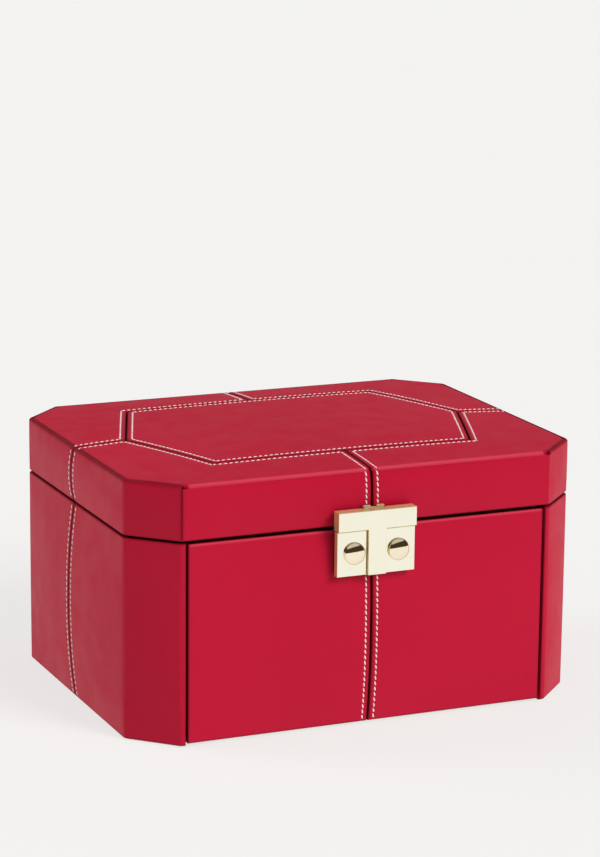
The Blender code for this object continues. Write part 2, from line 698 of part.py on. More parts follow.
def build_lid():
    pivot = (0.0, LID_AXIS_Y, LID_AXIS_Z)
    shell = plate("lid_board", octagon(BOARD_OUT), LID_BOTTOM + RIM_DROP, PAD_SEAT)
    cut(shell, plate("lid_hollow", octagon(BOARD_IN), LID_BOTTOM - CLEAR, LID_CEILING))
    finish(shell, BOARD_MAT, pivot)
    dome = lid_dome()
    for name, outline in pad_outlines().items():
        pad = plate(name, outline, PAD_BOTTOM, LID_TOP + CLEAR)
        trim = pad.modifiers.new("crown", "BOOLEAN")
        trim.operation = "INTERSECT"
        trim.solver = "EXACT"
        trim.object = dome
        finish(pad, LEATHER, pivot)
    finish(plate("lid_lining", octagon(LID_LINING_INSET), *LID_LINING), SUEDE, pivot)
    half_x, half_y = FRAME_HALF
    frame = box("mirror_frame", (-half_x, -half_y, FRAME_Z[0]), (half_x, half_y, FRAME_Z[1]))
    bevel(frame, FRAME_ROUND, 1)
    half_x, half_y = MIRROR_HALF
    wide_x, wide_y = half_x + MIRROR_PLAY, half_y + MIRROR_PLAY
    cut(frame, box("mirror_pocket", (-wide_x, -wide_y, FRAME_Z[0] - CLEAR),
                   (wide_x, wide_y, MIRROR_Z[1] + MIRROR_PLAY)))
    finish(frame, GOLD, pivot)
    finish(box("mirror", (-half_x, -half_y, MIRROR_Z[0]), (half_x, half_y, MIRROR_Z[1])),
           GLASS, pivot)
    for quarter in ("front", "rear"):
        for hand in ("left", "right"):
            finish(bpy.data.objects[f"lid_{quarter}_{hand}_skin"], LEATHER, pivot)
    finish(bpy.data.objects["keeper"], GOLD, pivot)


def main():
    build_boards()
    build_skins()
    build_bay()
    build_drawer("lower_drawer", LOWER_DRAWER)
    build_drawer("upper_drawer", UPPER_DRAWER)
    build_tray()
    build_lid_hinges()
    build_flap_hinge()
    build_flap()
    build_clasp()
    build_lid()


main()
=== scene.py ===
"""Looks for the leather jewellery case: padded panels, saddle stitching, gilt clasp, lining."""
import math
import random

import bmesh
import bpy
import numpy as np
from mathutils import Matrix, Vector
from mathutils.geometry import delaunay_2d_cdt


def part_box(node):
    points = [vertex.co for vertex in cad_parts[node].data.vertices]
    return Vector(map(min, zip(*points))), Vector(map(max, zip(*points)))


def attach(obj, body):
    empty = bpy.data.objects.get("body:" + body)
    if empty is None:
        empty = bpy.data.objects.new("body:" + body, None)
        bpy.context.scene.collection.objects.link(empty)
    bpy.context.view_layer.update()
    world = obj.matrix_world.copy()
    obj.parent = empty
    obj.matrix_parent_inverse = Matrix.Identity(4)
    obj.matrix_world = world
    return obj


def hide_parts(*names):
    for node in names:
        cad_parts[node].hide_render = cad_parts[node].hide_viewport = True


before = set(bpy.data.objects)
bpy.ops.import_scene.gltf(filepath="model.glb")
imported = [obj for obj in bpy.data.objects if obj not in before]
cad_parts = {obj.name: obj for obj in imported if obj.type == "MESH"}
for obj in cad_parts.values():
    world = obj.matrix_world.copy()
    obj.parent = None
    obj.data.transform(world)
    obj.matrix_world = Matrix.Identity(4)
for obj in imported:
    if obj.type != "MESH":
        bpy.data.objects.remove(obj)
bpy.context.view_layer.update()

MM = 0.001

# ---- sizes read from the frame --------------------------------------------------------
BOARD_OUT = 1.8 * MM                     # leather and its gap in front of every board
board_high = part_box("lid_board")[1]
HALF_X = board_high.x + BOARD_OUT        # vertical arrises of the sides
HALF_Y = board_high.y + BOARD_OUT        # front and rear arrises
flap_low, flap_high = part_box("flap_left_skin")
body_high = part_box("front_left_skin")[1]
skirt_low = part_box("lid_front_left_skin")[0]
hexagon_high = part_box("lid_hexagon_pad")[1]
CHAMFER = 22.8 * MM
FLAT_X = HALF_X - CHAMFER
FLAT_Y = HALF_Y - CHAMFER
TURN_PROUD = 0.3 * MM                    # turned leather stands this far over its board
BODY_LOW, BODY_TOP = 0.5 * MM, body_high.z + TURN_PROUD
FLAP_LOW, FLAP_TOP = flap_low.z - TURN_PROUD, flap_high.z + TURN_PROUD
LID_LOW = skirt_low.z - TURN_PROUD
TOP_CROWN = 3.5 * MM
LID_TOP = hexagon_high.z - TOP_CROWN     # the top arris, below the crown
FLAP_HALF = -flap_low.x
RETURN_EDGE = -body_high.x

SIDE_CROWN = 3.6 * MM
CHAMFER_CROWN = 1.0 * MM
SKIRT_CROWN = 1.8 * MM
FLAP_CROWN = 3.4 * MM

# ---- leatherwork ----------------------------------------------------------------------
SEAM = 0.8 * MM           # open width of a groove at its floor
EDGE_ROLL = 0.95 * MM     # radius of the turned leather edges beside a groove
RIM_ROLL = 1.3 * MM       # radius of the lid's long edges
LIP_ROLL = 0.7 * MM       # radius beside the gap under the lid
RIM_INSET = 1.7 * MM      # the top pads stop this far inside the arris
FRONT_ROLL = 1.8 * MM     # the top leather turns down over the front arris
FOOT_ROLL = 0.8 * MM      # and along the foot
STITCH_EDGE = 2.8 * MM    # stitch row to its leather edge
STITCH_PITCH = 3.0 * MM
STITCH_LENGTH = 2.6 * MM
STITCH_WIDTH = 0.86 * MM
CHANNEL = 0.24 * MM       # depth of the dent that a stitch row pulls in
CHANNEL_WIDTH = 0.55 * MM
BACK = 1.4 * MM           # thickness of the leather with its foam, at the edges
ARRIS_ROUND = 4.6 * MM    # soft vertical corners of the sides
RETURN_ROUND = 3.5 * MM   # and of the narrow returns beside the front
MESH_STEP = 4.5 * MM      # spacing of the panels' vertices away from their edges
ARC_STEPS = 7             # and their number round a corner
DARK_SEAM = 0.05          # a panel's edge tone above which it counts as a seam

# ---- studio values --------------------------------------------------------------------
FLOOR_GLOW = 0.703
ROOM = (0.53, 0.66, 0.04, 0.56)     # where the ceiling starts and ends, its two shades
REAR_START, REAR_END = 0.15, 0.60   # where the rear wall fades in
REAR_WALL = (0.30, 0.298, 0.295, 1.0)
NEUTRAL = (1.0, 0.99, 0.98)
WARM = (1.3, 0.8, 0.4)              # the dim part of the room, seen in the polished studs
LIGHTS = (("key", (0.42, -0.71, 0.565), 2.44, 28.0),
          ("rear_left_fill", (-0.69, 0.52, 0.50), 1.08, 34.0))
FLOOR_SIZE = 30.0
LENS, SENSOR = 124.21, 36.0
CAMERA_AT = (-0.6228, -1.4345, 0.4978)
CAMERA_TURN = (77.017, -0.569, -23.430)     # degrees

random.seed(7)


# ---- node materials -------------------------------------------------------------------
class Nodes:
    """A shorthand for wiring a node tree."""

    def __init__(self, name):
        self.mat = bpy.data.materials.new(name)
        self.mat.use_nodes = True
        self.tree = self.mat.node_tree
        self.shader = self.tree.nodes["Principled BSDF"]
        self.coord = self.tree.nodes.new("ShaderNodeTexCoord")

    def add(self, kind, **values):
        node = self.tree.nodes.new("ShaderNode" + kind)
        for key, value in values.items():
            if key in node.inputs.keys():
                node.inputs[key].default_value = value
            else:
                setattr(node, key, value)
        return node

    def link(self, source, target):
        self.tree.links.new(source, target)

    def noise(self, scale, detail=3.0, rough=0.5, vector=None):
        node = self.add("TexNoise", Scale=scale, Detail=detail, Roughness=rough)
        self.link(vector or self.coord.outputs["Object"], node.inputs["Vector"])
        return node.outputs["Fac"]

    def cells(self, scale, vector):
        node = self.add("TexVoronoi", Scale=scale, feature="DISTANCE_TO_EDGE")
        self.link(vector, node.inputs["Vector"])
        return node.outputs["Distance"]

    def span(self, value, low, high, out_low=0.0, out_high=1.0):
        node = self.add("MapRange")
        for key, number in (("From Min", low), ("From Max", high),
                            ("To Min", out_low), ("To Max", out_high)):
            node.inputs[key].default_value = number
        self.link(value, node.inputs["Value"])
        return node.outputs["Result"]

    def math(self, operation, a, b):
        node = self.add("Math", operation=operation)
        for socket, value in zip(node.inputs, (a, b)):
            if isinstance(value, (int, float)):
                socket.default_value = value
            else:
                self.link(value, socket)
        return node.outputs["Value"]

    def mix(self, factor, first, second):
        node = self.add("Mix", data_type="RGBA")
        for socket, value in ((node.inputs[0], factor), (node.inputs[6], first),
                              (node.inputs[7], second)):
            if isinstance(value, (int, float)):
                socket.default_value = value
            elif isinstance(value, tuple):
                socket.default_value = (*value, 1.0)
            else:
                self.link(value, socket)
        return node.outputs[2]

    def bump(self, height, strength, distance, normal=None):
        node = self.add("Bump", Strength=strength, Distance=distance)
        self.link(height, node.inputs["Height"])
        if normal is not None:
            self.link(normal, node.inputs["Normal"])
        return node.outputs["Normal"]

    def attribute(self, name):
        return self.add("Attribute", attribute_name=name).outputs["Fac"]

    def finish(self, colour=None, roughness=None, normal=None, **constants):
        for value, socket in ((colour, "Base Color"), (roughness, "Roughness"),
                              (normal, "Normal")):
            if value is None:
                continue
            if isinstance(value, tuple):
                self.shader.inputs[socket].default_value = (*value, 1.0)
            elif isinstance(value, float):
                self.shader.inputs[socket].default_value = value
            else:
                self.link(value, self.shader.inputs[socket])
        for key, value in constants.items():
            self.shader.inputs[key.replace("_", " ")].default_value = value
        return self.mat


PAINTED_HIGHLIGHT = (0.720, 0.085, 0.130)         # painted highlight: the pale pink of a rolled edge catching the light


def leather_material(name, deep, bright, painted_edges=True):
    """Smooth dyed calf: faint pores, slow colour drift, painted shade in the grooves and painted
    highlights on rolled edges.
    """
    n = Nodes(name)
    drift = n.span(n.noise(9.0, 4.0, 0.55), 0.3, 0.7)
    mottle = n.span(n.noise(240.0, 3.0, 0.6), 0.25, 0.75)
    colour = n.mix(drift, deep, bright)
    colour = n.mix(n.math("MULTIPLY", mottle, 0.10), colour, tuple(0.72 * c for c in deep))
    warp = n.add("TexNoise", Scale=300.0, Detail=2.0)
    n.link(n.coord.outputs["Object"], warp.inputs["Vector"])
    shifted = n.add("MixRGB", blend_type="ADD")
    shifted.inputs[0].default_value = 0.0012
    n.link(n.coord.outputs["Object"], shifted.inputs[1])
    n.link(warp.outputs["Color"], shifted.inputs[2])
    pores = n.cells(1150.0, shifted.outputs[0])
    creases = n.span(pores, 0.0, 0.22)
    fine = n.noise(2600.0, 2.0, 0.6)
    slow = n.noise(70.0, 3.0, 0.5)
    rough = n.span(slow, 0.3, 0.7, 0.40, 0.50)
    rough = n.math("ADD", rough, n.math("MULTIPLY", n.math("SUBTRACT", 1.0, creases), 0.08))
    if painted_edges:
        # the edge attribute paints shade into grooves, rims and foot (positive values) and a
        # highlight on rolled edges (negative values)
        edge = n.attribute("edge")
        colour = n.mix(n.span(edge, 0.0, 1.0, 0.0, 0.85), colour, tuple(0.22 * c for c in deep))
        colour = n.mix(n.span(edge, 0.0, -1.0, 0.0, 0.55), colour, PAINTED_HIGHLIGHT)
    normal = n.bump(slow, 0.10, 0.0016)
    normal = n.bump(creases, 0.16, 0.00010, normal)
    normal = n.bump(fine, 0.10, 0.00004, normal)
    return n.finish(colour, rough, normal, IOR=1.45, Specular_IOR_Level=0.15)


def thread_material():
    """Waxed cream thread: a twisted ply and a little soil."""
    n = Nodes("waxed_thread")
    ply = n.add("TexWave", Scale=900.0, Distortion=1.5)
    ply.wave_type = "BANDS"
    ply.bands_direction = "DIAGONAL"
    n.link(n.coord.outputs["Object"], ply.inputs["Vector"])
    soil = n.span(n.noise(160.0), 0.35, 0.7)
    colour = n.mix(soil, (0.86, 0.70, 0.69), (0.94, 0.82, 0.80))
    normal = n.bump(ply.outputs["Fac"], 0.35, 0.00008)
    return n.finish(colour, 0.55, normal, Sheen_Weight=0.2)


def gilt_material(name, colour, roughness, scratch=0.5, metal=1.0):
    """Plated metal: fine hairlines in the polish and a slightly uneven tone."""
    n = Nodes(name)
    stretch = n.add("Mapping")
    stretch.inputs["Scale"].default_value = (1.0, 1.0, 14.0)
    n.link(n.coord.outputs["Object"], stretch.inputs["Vector"])
    hair = n.noise(420.0, 4.0, 0.65, stretch.outputs["Vector"])
    tone = n.span(n.noise(55.0), 0.3, 0.7)
    warm = tuple(c * k for c, k in zip(colour, (0.99, 0.97, 0.93)))
    base = n.mix(tone, colour, warm)
    rough = n.span(hair, 0.3, 0.7, roughness, roughness + 0.07 * scratch)
    normal = n.bump(hair, 0.05 * scratch, 0.00003)
    return n.finish(base, rough, normal, Metallic=metal)


def suede_material(name, deep, bright):
    """Napped suede: brushed patches and a soft pile."""
    n = Nodes(name)
    patch = n.span(n.noise(38.0, 4.0, 0.6), 0.3, 0.7)
    pile = n.noise(2200.0, 3.0, 0.7)
    colour = n.mix(patch, deep, bright)
    colour = n.mix(n.math("MULTIPLY", n.span(pile, 0.3, 0.7), 0.25), colour,
                   tuple(0.7 * c for c in deep))
    normal = n.bump(pile, 0.35, 0.00012)
    normal = n.bump(n.noise(120.0, 3.0), 0.12, 0.0006, normal)
    return n.finish(colour, 0.92, normal, Sheen_Weight=0.55, Sheen_Roughness=0.4,
                    Specular_IOR_Level=0.15)


def felt_material():
    n = Nodes("wool_felt")
    fibre = n.noise(1500.0, 5.0, 0.75)
    colour = n.mix(n.span(fibre, 0.3, 0.7), (0.045, 0.010, 0.014), (0.10, 0.022, 0.03))
    return n.finish(colour, 0.97, n.bump(fibre, 0.5, 0.0002), Sheen_Weight=0.4)


def mirror_material():
    n = Nodes("silvered_glass")
    smear = n.span(n.noise(30.0, 3.0), 0.4, 0.8, 0.012, 0.05)
    colour = n.mix(n.span(n.noise(12.0), 0.3, 0.7), (0.88, 0.90, 0.91), (0.92, 0.93, 0.94))
    return n.finish(colour, smear, None, Metallic=1.0)


def floor_material():
    n = Nodes("pale_floor")
    colour = n.mix(n.noise(3.0), (0.196, 0.196, 0.195), (0.204, 0.204, 0.203))
    n.finish(colour, 0.85, None, Specular_IOR_Level=0.0)
    n.shader.inputs["Emission Color"].default_value = (1.0, 0.990, 0.975, 1.0)
    n.shader.inputs["Emission Strength"].default_value = FLOOR_GLOW
    return n.mat


RED_DEEP = (0.470, 0.0050, 0.0300)
RED_BRIGHT = (0.510, 0.0060, 0.0345)
LEATHER = leather_material("dyed_calf", RED_DEEP, RED_BRIGHT)
# the turned-in leather is a darker copy of the outer leather: painted shade for the gaps and
# groove floors it shows in
TURNED_SHADED = leather_material("turned_in_leather_painted_shade", tuple(0.55 * c for c in RED_DEEP),
                          tuple(0.6 * c for c in RED_BRIGHT), painted_edges=False)
THREAD = thread_material()
GILT = gilt_material("pale_gilt", (1.0, 0.985, 0.83), 0.10)
# the clasp's side, top and bottom faces: a rougher gilt whose darker browner colour is painted
# shade
FLANK_SHADED = gilt_material("gilt_flank_painted_shade", (0.95, 0.78, 0.38), 0.40, metal=0.6)
POLISHED = gilt_material("polished_gilt", (1.0, 0.92, 0.72), 0.08, 0.3)
BRASS = gilt_material("hinge_brass", (0.83, 0.64, 0.33), 0.22, 1.0)
SUEDE = suede_material("lining_suede", (0.56, 0.43, 0.33), (0.66, 0.53, 0.42))
SUEDE_DARK = suede_material("well_suede", (0.50, 0.38, 0.29), (0.60, 0.47, 0.37))
FELT = felt_material()
MIRROR = mirror_material()


# ---- meshes ---------------------------------------------------------------------------
def mesh_object(name, verts, faces, mat):
    mesh = bpy.data.meshes.new(name)
    mesh.from_pydata([tuple(v) for v in verts], [], faces)
    soft = bmesh.new()
    soft.from_mesh(mesh)
    bmesh.ops.recalc_face_normals(soft, faces=soft.faces)
    soft.to_mesh(mesh)
    soft.free()
    mesh.shade_smooth()
    mesh.materials.append(mat)
    obj = bpy.data.objects.new(name, mesh)
    bpy.context.scene.collection.objects.link(obj)
    return obj


def sharpen(obj, degrees):
    """Keep edges sharper than this angle crisp."""
    obj.data.set_sharp_from_angle(angle=math.radians(degrees))


def rim_of(rows, cols):
    """The border of a grid of vertices, once round; each column holds rows of them."""
    rim = [i * rows for i in range(cols)]
    rim += [(cols - 1) * rows + j for j in range(1, rows)]
    rim += [i * rows + rows - 1 for i in range(cols - 2, -1, -1)]
    return rim + [j for j in range(rows - 2, 0, -1)]


def stitch_frame(here, along, normal):
    """A stitch's place, its direction and its upright."""
    along = along.normalized()
    side = normal.cross(along).normalized()
    return here, along, along.cross(side).normalized()


def edge_attribute(obj, values):
    layer = obj.data.attributes.new("edge", "FLOAT", "POINT")
    layer.data.foreach_set("value", np.asarray(values, np.float32))


def dress(obj, body, slot, *nodes):
    """Ride on a body and stand for CAD nodes; the slot argument is not used."""
    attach(obj, body)
    if nodes:
        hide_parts(*nodes)
    return obj


def roll(distance, radius):
    """Drop of a turned edge, a quarter circle of that radius."""
    if distance >= radius:
        return 0.0
    inside = radius - max(distance, 0.0)
    return radius - math.sqrt(max(radius * radius - inside * inside, 0.0))


def swell(offset, half, power=2.4):
    return max(0.0, 1.0 - abs(offset / half) ** power)


def channel(distance):
    return CHANNEL * math.exp(-((distance - STITCH_EDGE) / CHANNEL_WIDTH) ** 2)


def edge_shade(distance, radius):
    """Weight of painted shade: 1 at the bottom of a turned edge, fading out on the flat."""
    return min(1.0, max(0.0, 1.0 - distance / (1.5 * radius))) ** 1.2


def edge_highlight(distance, radius):
    """Weight of a painted highlight along a turned edge: -1 on its shoulder."""
    return -math.exp(-((distance - 0.45 * radius) / (0.5 * radius)) ** 2)


ROLL_STEPS = [1.0 - math.cos(math.radians(a)) for a in (0, 18, 36, 54, 72, 90)]


def edge_samples(radius, stitched):
    """Distances from a panel's edge at which the surface is sampled."""
    near = [radius * k for k in ROLL_STEPS]
    if stitched:
        near += [STITCH_EDGE + k * CHANNEL_WIDTH
                 for k in (-1.6, -0.9, -0.4, 0.0, 0.4, 0.9, 1.6, 2.4)]
    else:
        near += [radius * 1.8, radius * 3.2]
    return near


class Path:
    """A plan polyline with rounded corners, walked by length."""

    def __init__(self, points, radii):
        self.parts = []
        here = Vector(points[0])
        for k in range(1, len(points)):
            corner = Vector(points[k])
            if k == len(points) - 1:
                self._line(here, corner)
                break
            before = (corner - Vector(points[k - 1])).normalized()
            after = (Vector(points[k + 1]) - corner).normalized()
            turn = before.angle_signed(after)
            cut = radii[k] * math.tan(abs(turn) / 2)
            start, end = corner - before * cut, corner + after * cut
            self._line(here, start)
            self.parts.append(("arc", start, before, turn, radii[k], radii[k] * abs(turn)))
            here = end
        self.length = sum(p[-1] for p in self.parts)

    def _line(self, start, end):
        self.parts.append(("line", start, (end - start).normalized(), 0.0, 0.0,
                           (end - start).length))

    def at(self, s):
        """Point and walking direction at length s."""
        for part in self.parts:
            kind, start, direction, turn, radius, length = part
            if s <= length or part is self.parts[-1]:
                if kind == "line":
                    return start + direction * s, direction
                angle = -turn * s / length     # angle_signed is clockwise positive
                side = Vector((-direction.y, direction.x)) * (1 if turn < 0 else -1)
                centre = start + side * radius
                arm = start - centre
                spin = Matrix.Rotation(angle, 2)
                return centre + spin @ arm, spin @ direction
            s -= length

    def samples(self, first, last):
        """Lengths to sample at: both edges' own distances, arcs densely, lines at a step."""
        marks = set(round(d, 7) for d in first)
        marks |= set(round(self.length - d, 7) for d in last)
        low, high = max(first), self.length - max(last)
        run = 0.0
        for kind, *_rest, length in self.parts:
            count = ARC_STEPS if kind == "arc" else max(1, round(length / MESH_STEP))
            for k in range(count + 1):
                s = run + length * k / count
                if low < s < high:
                    marks.add(round(s, 7))
            run += length
        marks = sorted(marks)
        return [marks[0]] + [b for a, b in zip(marks, marks[1:]) if b - a > 2e-5]


class WallPanel:
    """A padded leather panel that stands on the case's side and may wrap its corners."""

    def __init__(self, name, path, low, high, crown, rolls, stitched, outward,
                 highlighted=(False, False, False, False)):
        self.name, self.path, self.low, self.high = name, path, low, high
        self.highlighted = highlighted          # which of start, end, bottom and top gets a painted highlight
        self.crown = crown            # function of plan point, z -> swell in metres
        self.rolls = rolls            # roll radii at start, end, bottom, top
        self.stitched = stitched      # which of start and end has a stitch row
        self.outward = outward        # +1 where the outside is right of the walk

    def height(self, s, z, point):
        a, b, low, high = self.rolls
        ends = (s, self.path.length - s)
        drops = [roll(ends[0], a), roll(ends[1], b),
                 roll(z - self.low, low), roll(self.high - z, high)]
        drop = min(math.sqrt(sum(d * d for d in drops)), max(self.rolls))
        out = self.crown(point, z) - drop
        for distance, on in zip(ends, self.stitched):
            if on:
                out -= channel(distance)
        return out

    def surface(self, s, z):
        point, direction = self.path.at(s)
        normal = Vector((direction.y, -direction.x)) * self.outward
        out = self.height(s, z, point)
        place = point + normal * out
        return Vector((place.x, place.y, z)), Vector((normal.x, normal.y, 0.0)), point

    def build(self, body, *nodes):
        a, b, low, high = self.rolls
        along = self.path.samples(edge_samples(a, self.stitched[0]),
                                  edge_samples(b, self.stitched[1]))
        up = [self.low + d for d in edge_samples(low, False)]
        up += [self.high - d for d in edge_samples(high, False)]
        inner_low, inner_high = self.low + 3.2 * low, self.high - 3.2 * high
        count = max(4, round((inner_high - inner_low) / MESH_STEP))
        up += [inner_low + (inner_high - inner_low) * k / count for k in range(1, count)]
        up = sorted(up)
        verts, shade = [], []
        for s in along:
            for z in up:
                place, _normal, _point = self.surface(s, z)
                verts.append(place)
                shade.append(self.tone(s, z))
        front = len(verts)
        for s in along:
            for z in up:
                point, direction = self.path.at(s)
                normal = Vector((direction.y, -direction.x)) * self.outward
                back = point - normal * BACK
                verts.append(Vector((back.x, back.y, z)))
                shade.append(1.0)
        rows, cols = len(up), len(along)
        faces = []
        for i in range(cols - 1):
            for j in range(rows - 1):
                p = i * rows + j
                quad = [p, p + rows, p + rows + 1, p + 1]
                faces.append(quad)
                faces.append([front + k for k in reversed(quad)])
        rim = rim_of(rows, cols)
        for p, q in zip(rim, rim[1:] + rim[:1]):
            faces.append([q, p, front + p, front + q])
        obj = mesh_object(self.name, verts, faces, LEATHER)
        edge_attribute(obj, shade)
        sharpen(obj, 50)
        return dress(obj, body, "leather", *nodes)

    def tone(self, s, z):
        """The edge attribute: painted shade in the seams, rims and foot, a painted highlight on
        highlighted edges.
        """
        depths = (s, self.path.length - s, z - self.low, self.high - z)
        dark, pale = 0.0, 0.0
        # the foot and the top take nine tenths of the painted shade
        for depth, radius, lit_edge, share in zip(depths, self.rolls, self.highlighted,
                                             (1.0, 1.0, 0.9, 0.9)):
            if lit_edge:
                pale = min(pale, edge_highlight(depth, radius))
            else:
                dark = max(dark, share * edge_shade(depth, radius))
        return pale if dark < DARK_SEAM else dark

    def stitch_row(self, which, margin_low=1.0 * MM, margin_high=1.2 * MM):
        """Places of the stitches beside the start (0) or end (1) of the panel."""
        s = STITCH_EDGE if which == 0 else self.path.length - STITCH_EDGE
        low, high = self.low + margin_low, self.high - margin_high
        count = max(1, round((high - low) / STITCH_PITCH))
        step = (high - low) / count
        places = []
        for k in range(count):
            z = low + step * (k + 0.5)
            here, normal, _p = self.surface(s, z)
            above, _n, _p = self.surface(s, z + step / 4)
            below, _n, _p = self.surface(s, z - step / 4)
            places.append(stitch_frame(here, above - below, normal))
        return places


# ---- stitches -------------------------------------------------------------------------
def stitch_template():
    """One thread stitch: its ends dive into their holes."""
    rings, sides, flat, thin_end = 9, 10, 0.40, 0.16
    dive, lift = 0.24 * MM, 0.10 * MM
    verts, faces = [], []
    for i in range(rings):
        t = -1 + 2 * i / (rings - 1)
        girth = math.sqrt(max(0.0, 1 - abs(t) ** 3.2)) * 0.86 + 0.14 * (1 - t * t)
        girth = max(girth, thin_end)
        for k in range(sides):
            angle = math.tau * k / sides
            verts.append((t * STITCH_LENGTH / 2,
                          math.cos(angle) * girth * STITCH_WIDTH / 2,
                          math.sin(angle) * girth * STITCH_WIDTH * flat
                          - dive * abs(t) ** 2.5 + lift))
    for i in range(rings - 1):
        for k in range(sides):
            a, b = i * sides + k, i * sides + (k + 1) % sides
            faces.append((a, b, b + sides, a + sides))
    faces.append(tuple(range(sides))[::-1])
    faces.append(tuple((rings - 1) * sides + k for k in range(sides)))
    return verts, faces


STITCH = stitch_template()
SLANT = math.radians(14)
TILT_SPREAD, LENGTH_SPREAD = 0.03, 0.04     # how far hand sewing varies


def stitches(name, places, body):
    """All stitches of one panel as one piece."""
    verts, faces = [], []
    base_verts, base_faces = STITCH
    for here, along, normal in places:
        side = normal.cross(along)
        tilt = SLANT + random.uniform(-TILT_SPREAD, TILT_SPREAD)
        length = 1.0 + random.uniform(-LENGTH_SPREAD, LENGTH_SPREAD)
        a = along * math.cos(tilt) + side * math.sin(tilt)
        b = side * math.cos(tilt) - along * math.sin(tilt)
        start = len(verts)
        for x, y, z in base_verts:
            verts.append(here + a * (x * length) + b * y + normal * z)
        faces += [tuple(start + k for k in face) for face in base_faces]
    obj = mesh_object(name, verts, faces, THREAD)
    return dress(obj, body, "leather")


# ---- crowns ---------------------------------------------------------------------------
def side_swell(point):
    """Swell of a side, a front or a chamfer from the plan point alone."""
    x, y, near = abs(point.x), abs(point.y), 0.3 * MM
    if x > HALF_X - near and y < FLAT_Y:
        return swell(y, FLAT_Y), False
    if y > HALF_Y - near and x < FLAT_X:
        return swell(x, FLAT_X), False
    away = abs(x - FLAT_X - CHAMFER / 2) / (CHAMFER / 2)
    return swell(away, 1.0), True


def wall_crown(low, high, crown):
    middle, half = (low + high) / 2, (high - low) / 2

    def out(point, z):
        amount, corner = side_swell(point)
        size = min(CHAMFER_CROWN, crown) if corner else crown
        return size * amount * swell(z - middle, half, 2.2)
    return out


def flap_crown(point, z):
    middle, half = (FLAP_LOW + FLAP_TOP) / 2, (FLAP_TOP - FLAP_LOW) / 2
    return FLAP_CROWN * swell(point.x, FLAP_HALF) * swell(z - middle, half, 2.2)


# ---- wall panels ----------------------------------------------------------------------
def body_panels():
    crown = wall_crown(BODY_LOW, BODY_TOP, SIDE_CROWN)
    for side, hand in ((-1, "left"), (1, "right")):
        for sign, quarter in ((-1, "front"), (1, "rear")):
            start_x = RETURN_EDGE if quarter == "front" else SEAM / 2
            points = [(side * start_x, sign * HALF_Y), (side * FLAT_X, sign * HALF_Y),
                      (side * HALF_X, sign * FLAT_Y), (side * HALF_X, sign * SEAM / 2)]
            first = RETURN_ROUND if quarter == "front" else ARRIS_ROUND
            path = Path(points, [0, first, ARRIS_ROUND, 0])
            front = quarter == "front"
            rolls = (LIP_ROLL if front else EDGE_ROLL, EDGE_ROLL, FOOT_ROLL, LIP_ROLL)
            panel = WallPanel(f"{quarter}_{hand}_leather", path, BODY_LOW, BODY_TOP, crown,
                              rolls, (not front, True), -side * sign)
            panel.build("case", f"{quarter}_{hand}_skin")
            places = panel.stitch_row(1)
            if quarter == "rear":
                places += panel.stitch_row(0)
            stitches(f"{quarter}_{hand}_stitches", places, "case")


def flap_panels():
    rolls = (EDGE_ROLL, LIP_ROLL, FOOT_ROLL, EDGE_ROLL)
    for side, hand in ((-1, "left"), (1, "right")):
        path = Path([(side * SEAM / 2, -HALF_Y), (side * FLAP_HALF, -HALF_Y)], [0, 0])
        # the flap's top edge gets a painted highlight, its other edges painted shade
        panel = WallPanel(f"flap_{hand}_leather", path, FLAP_LOW, FLAP_TOP, flap_crown,
                          rolls, (True, False), side, (False, False, False, True))
        panel.build("front", f"flap_{hand}_skin")
        stitches(f"flap_{hand}_stitches", panel.stitch_row(0), "front")


def lid_walls():
    crown = wall_crown(LID_LOW, LID_TOP, SKIRT_CROWN)
    gap, tuck = 0.15 * MM, 0.02 * MM
    low_margin, high_margin, past_top = 1.4 * MM, 1.5 * MM, -0.6 * MM
    side_margin = 1.7 * MM
    for side, hand in ((-1, "left"), (1, "right")):
        butt = 0.9 * MM if side < 0 else 0.3 * MM      # the right arris is closed tighter
        rolls = (EDGE_ROLL, butt, LIP_ROLL, RIM_ROLL)
        tucked = (EDGE_ROLL, butt, LIP_ROLL, tuck)
        for sign, quarter in ((-1, "front"), (1, "rear")):
            node = f"lid_{quarter}_{hand}_skin"
            flat = Path([(side * SEAM / 2, sign * HALF_Y),
                         (side * (FLAT_X - gap), sign * HALF_Y)], [0, 0])
            under = quarter == "front"      # the top leather turns down onto the front
            # the right side's arrises get a painted highlight in place of the painted shade
            highlighted = (False, side > 0, False, False)
            panel = WallPanel(f"lid_{quarter}_{hand}_leather", flat, LID_LOW,
                              LID_TOP - FRONT_ROLL if under else LID_TOP, crown,
                              tucked if under else rolls, (True, False), -side * sign, highlighted)
            panel.build("lid", node)
            places = panel.stitch_row(0, low_margin, past_top if under else high_margin)
            cut = gap * math.sqrt(0.5)
            wrap = Path([(side * HALF_X, sign * SEAM / 2),
                         (side * HALF_X, sign * FLAT_Y),
                         (side * (FLAT_X + cut), sign * (HALF_Y - cut))], [0, ARRIS_ROUND, 0])
            panel = WallPanel(f"lid_side_{quarter}_{hand}_leather", wrap, LID_LOW, LID_TOP,
                              crown, rolls, (True, False), side * sign, highlighted)
            panel.build("lid", node)
            places += panel.stitch_row(0, side_margin, high_margin)
            stitches(f"lid_{quarter}_{hand}_stitches", places, "lid")


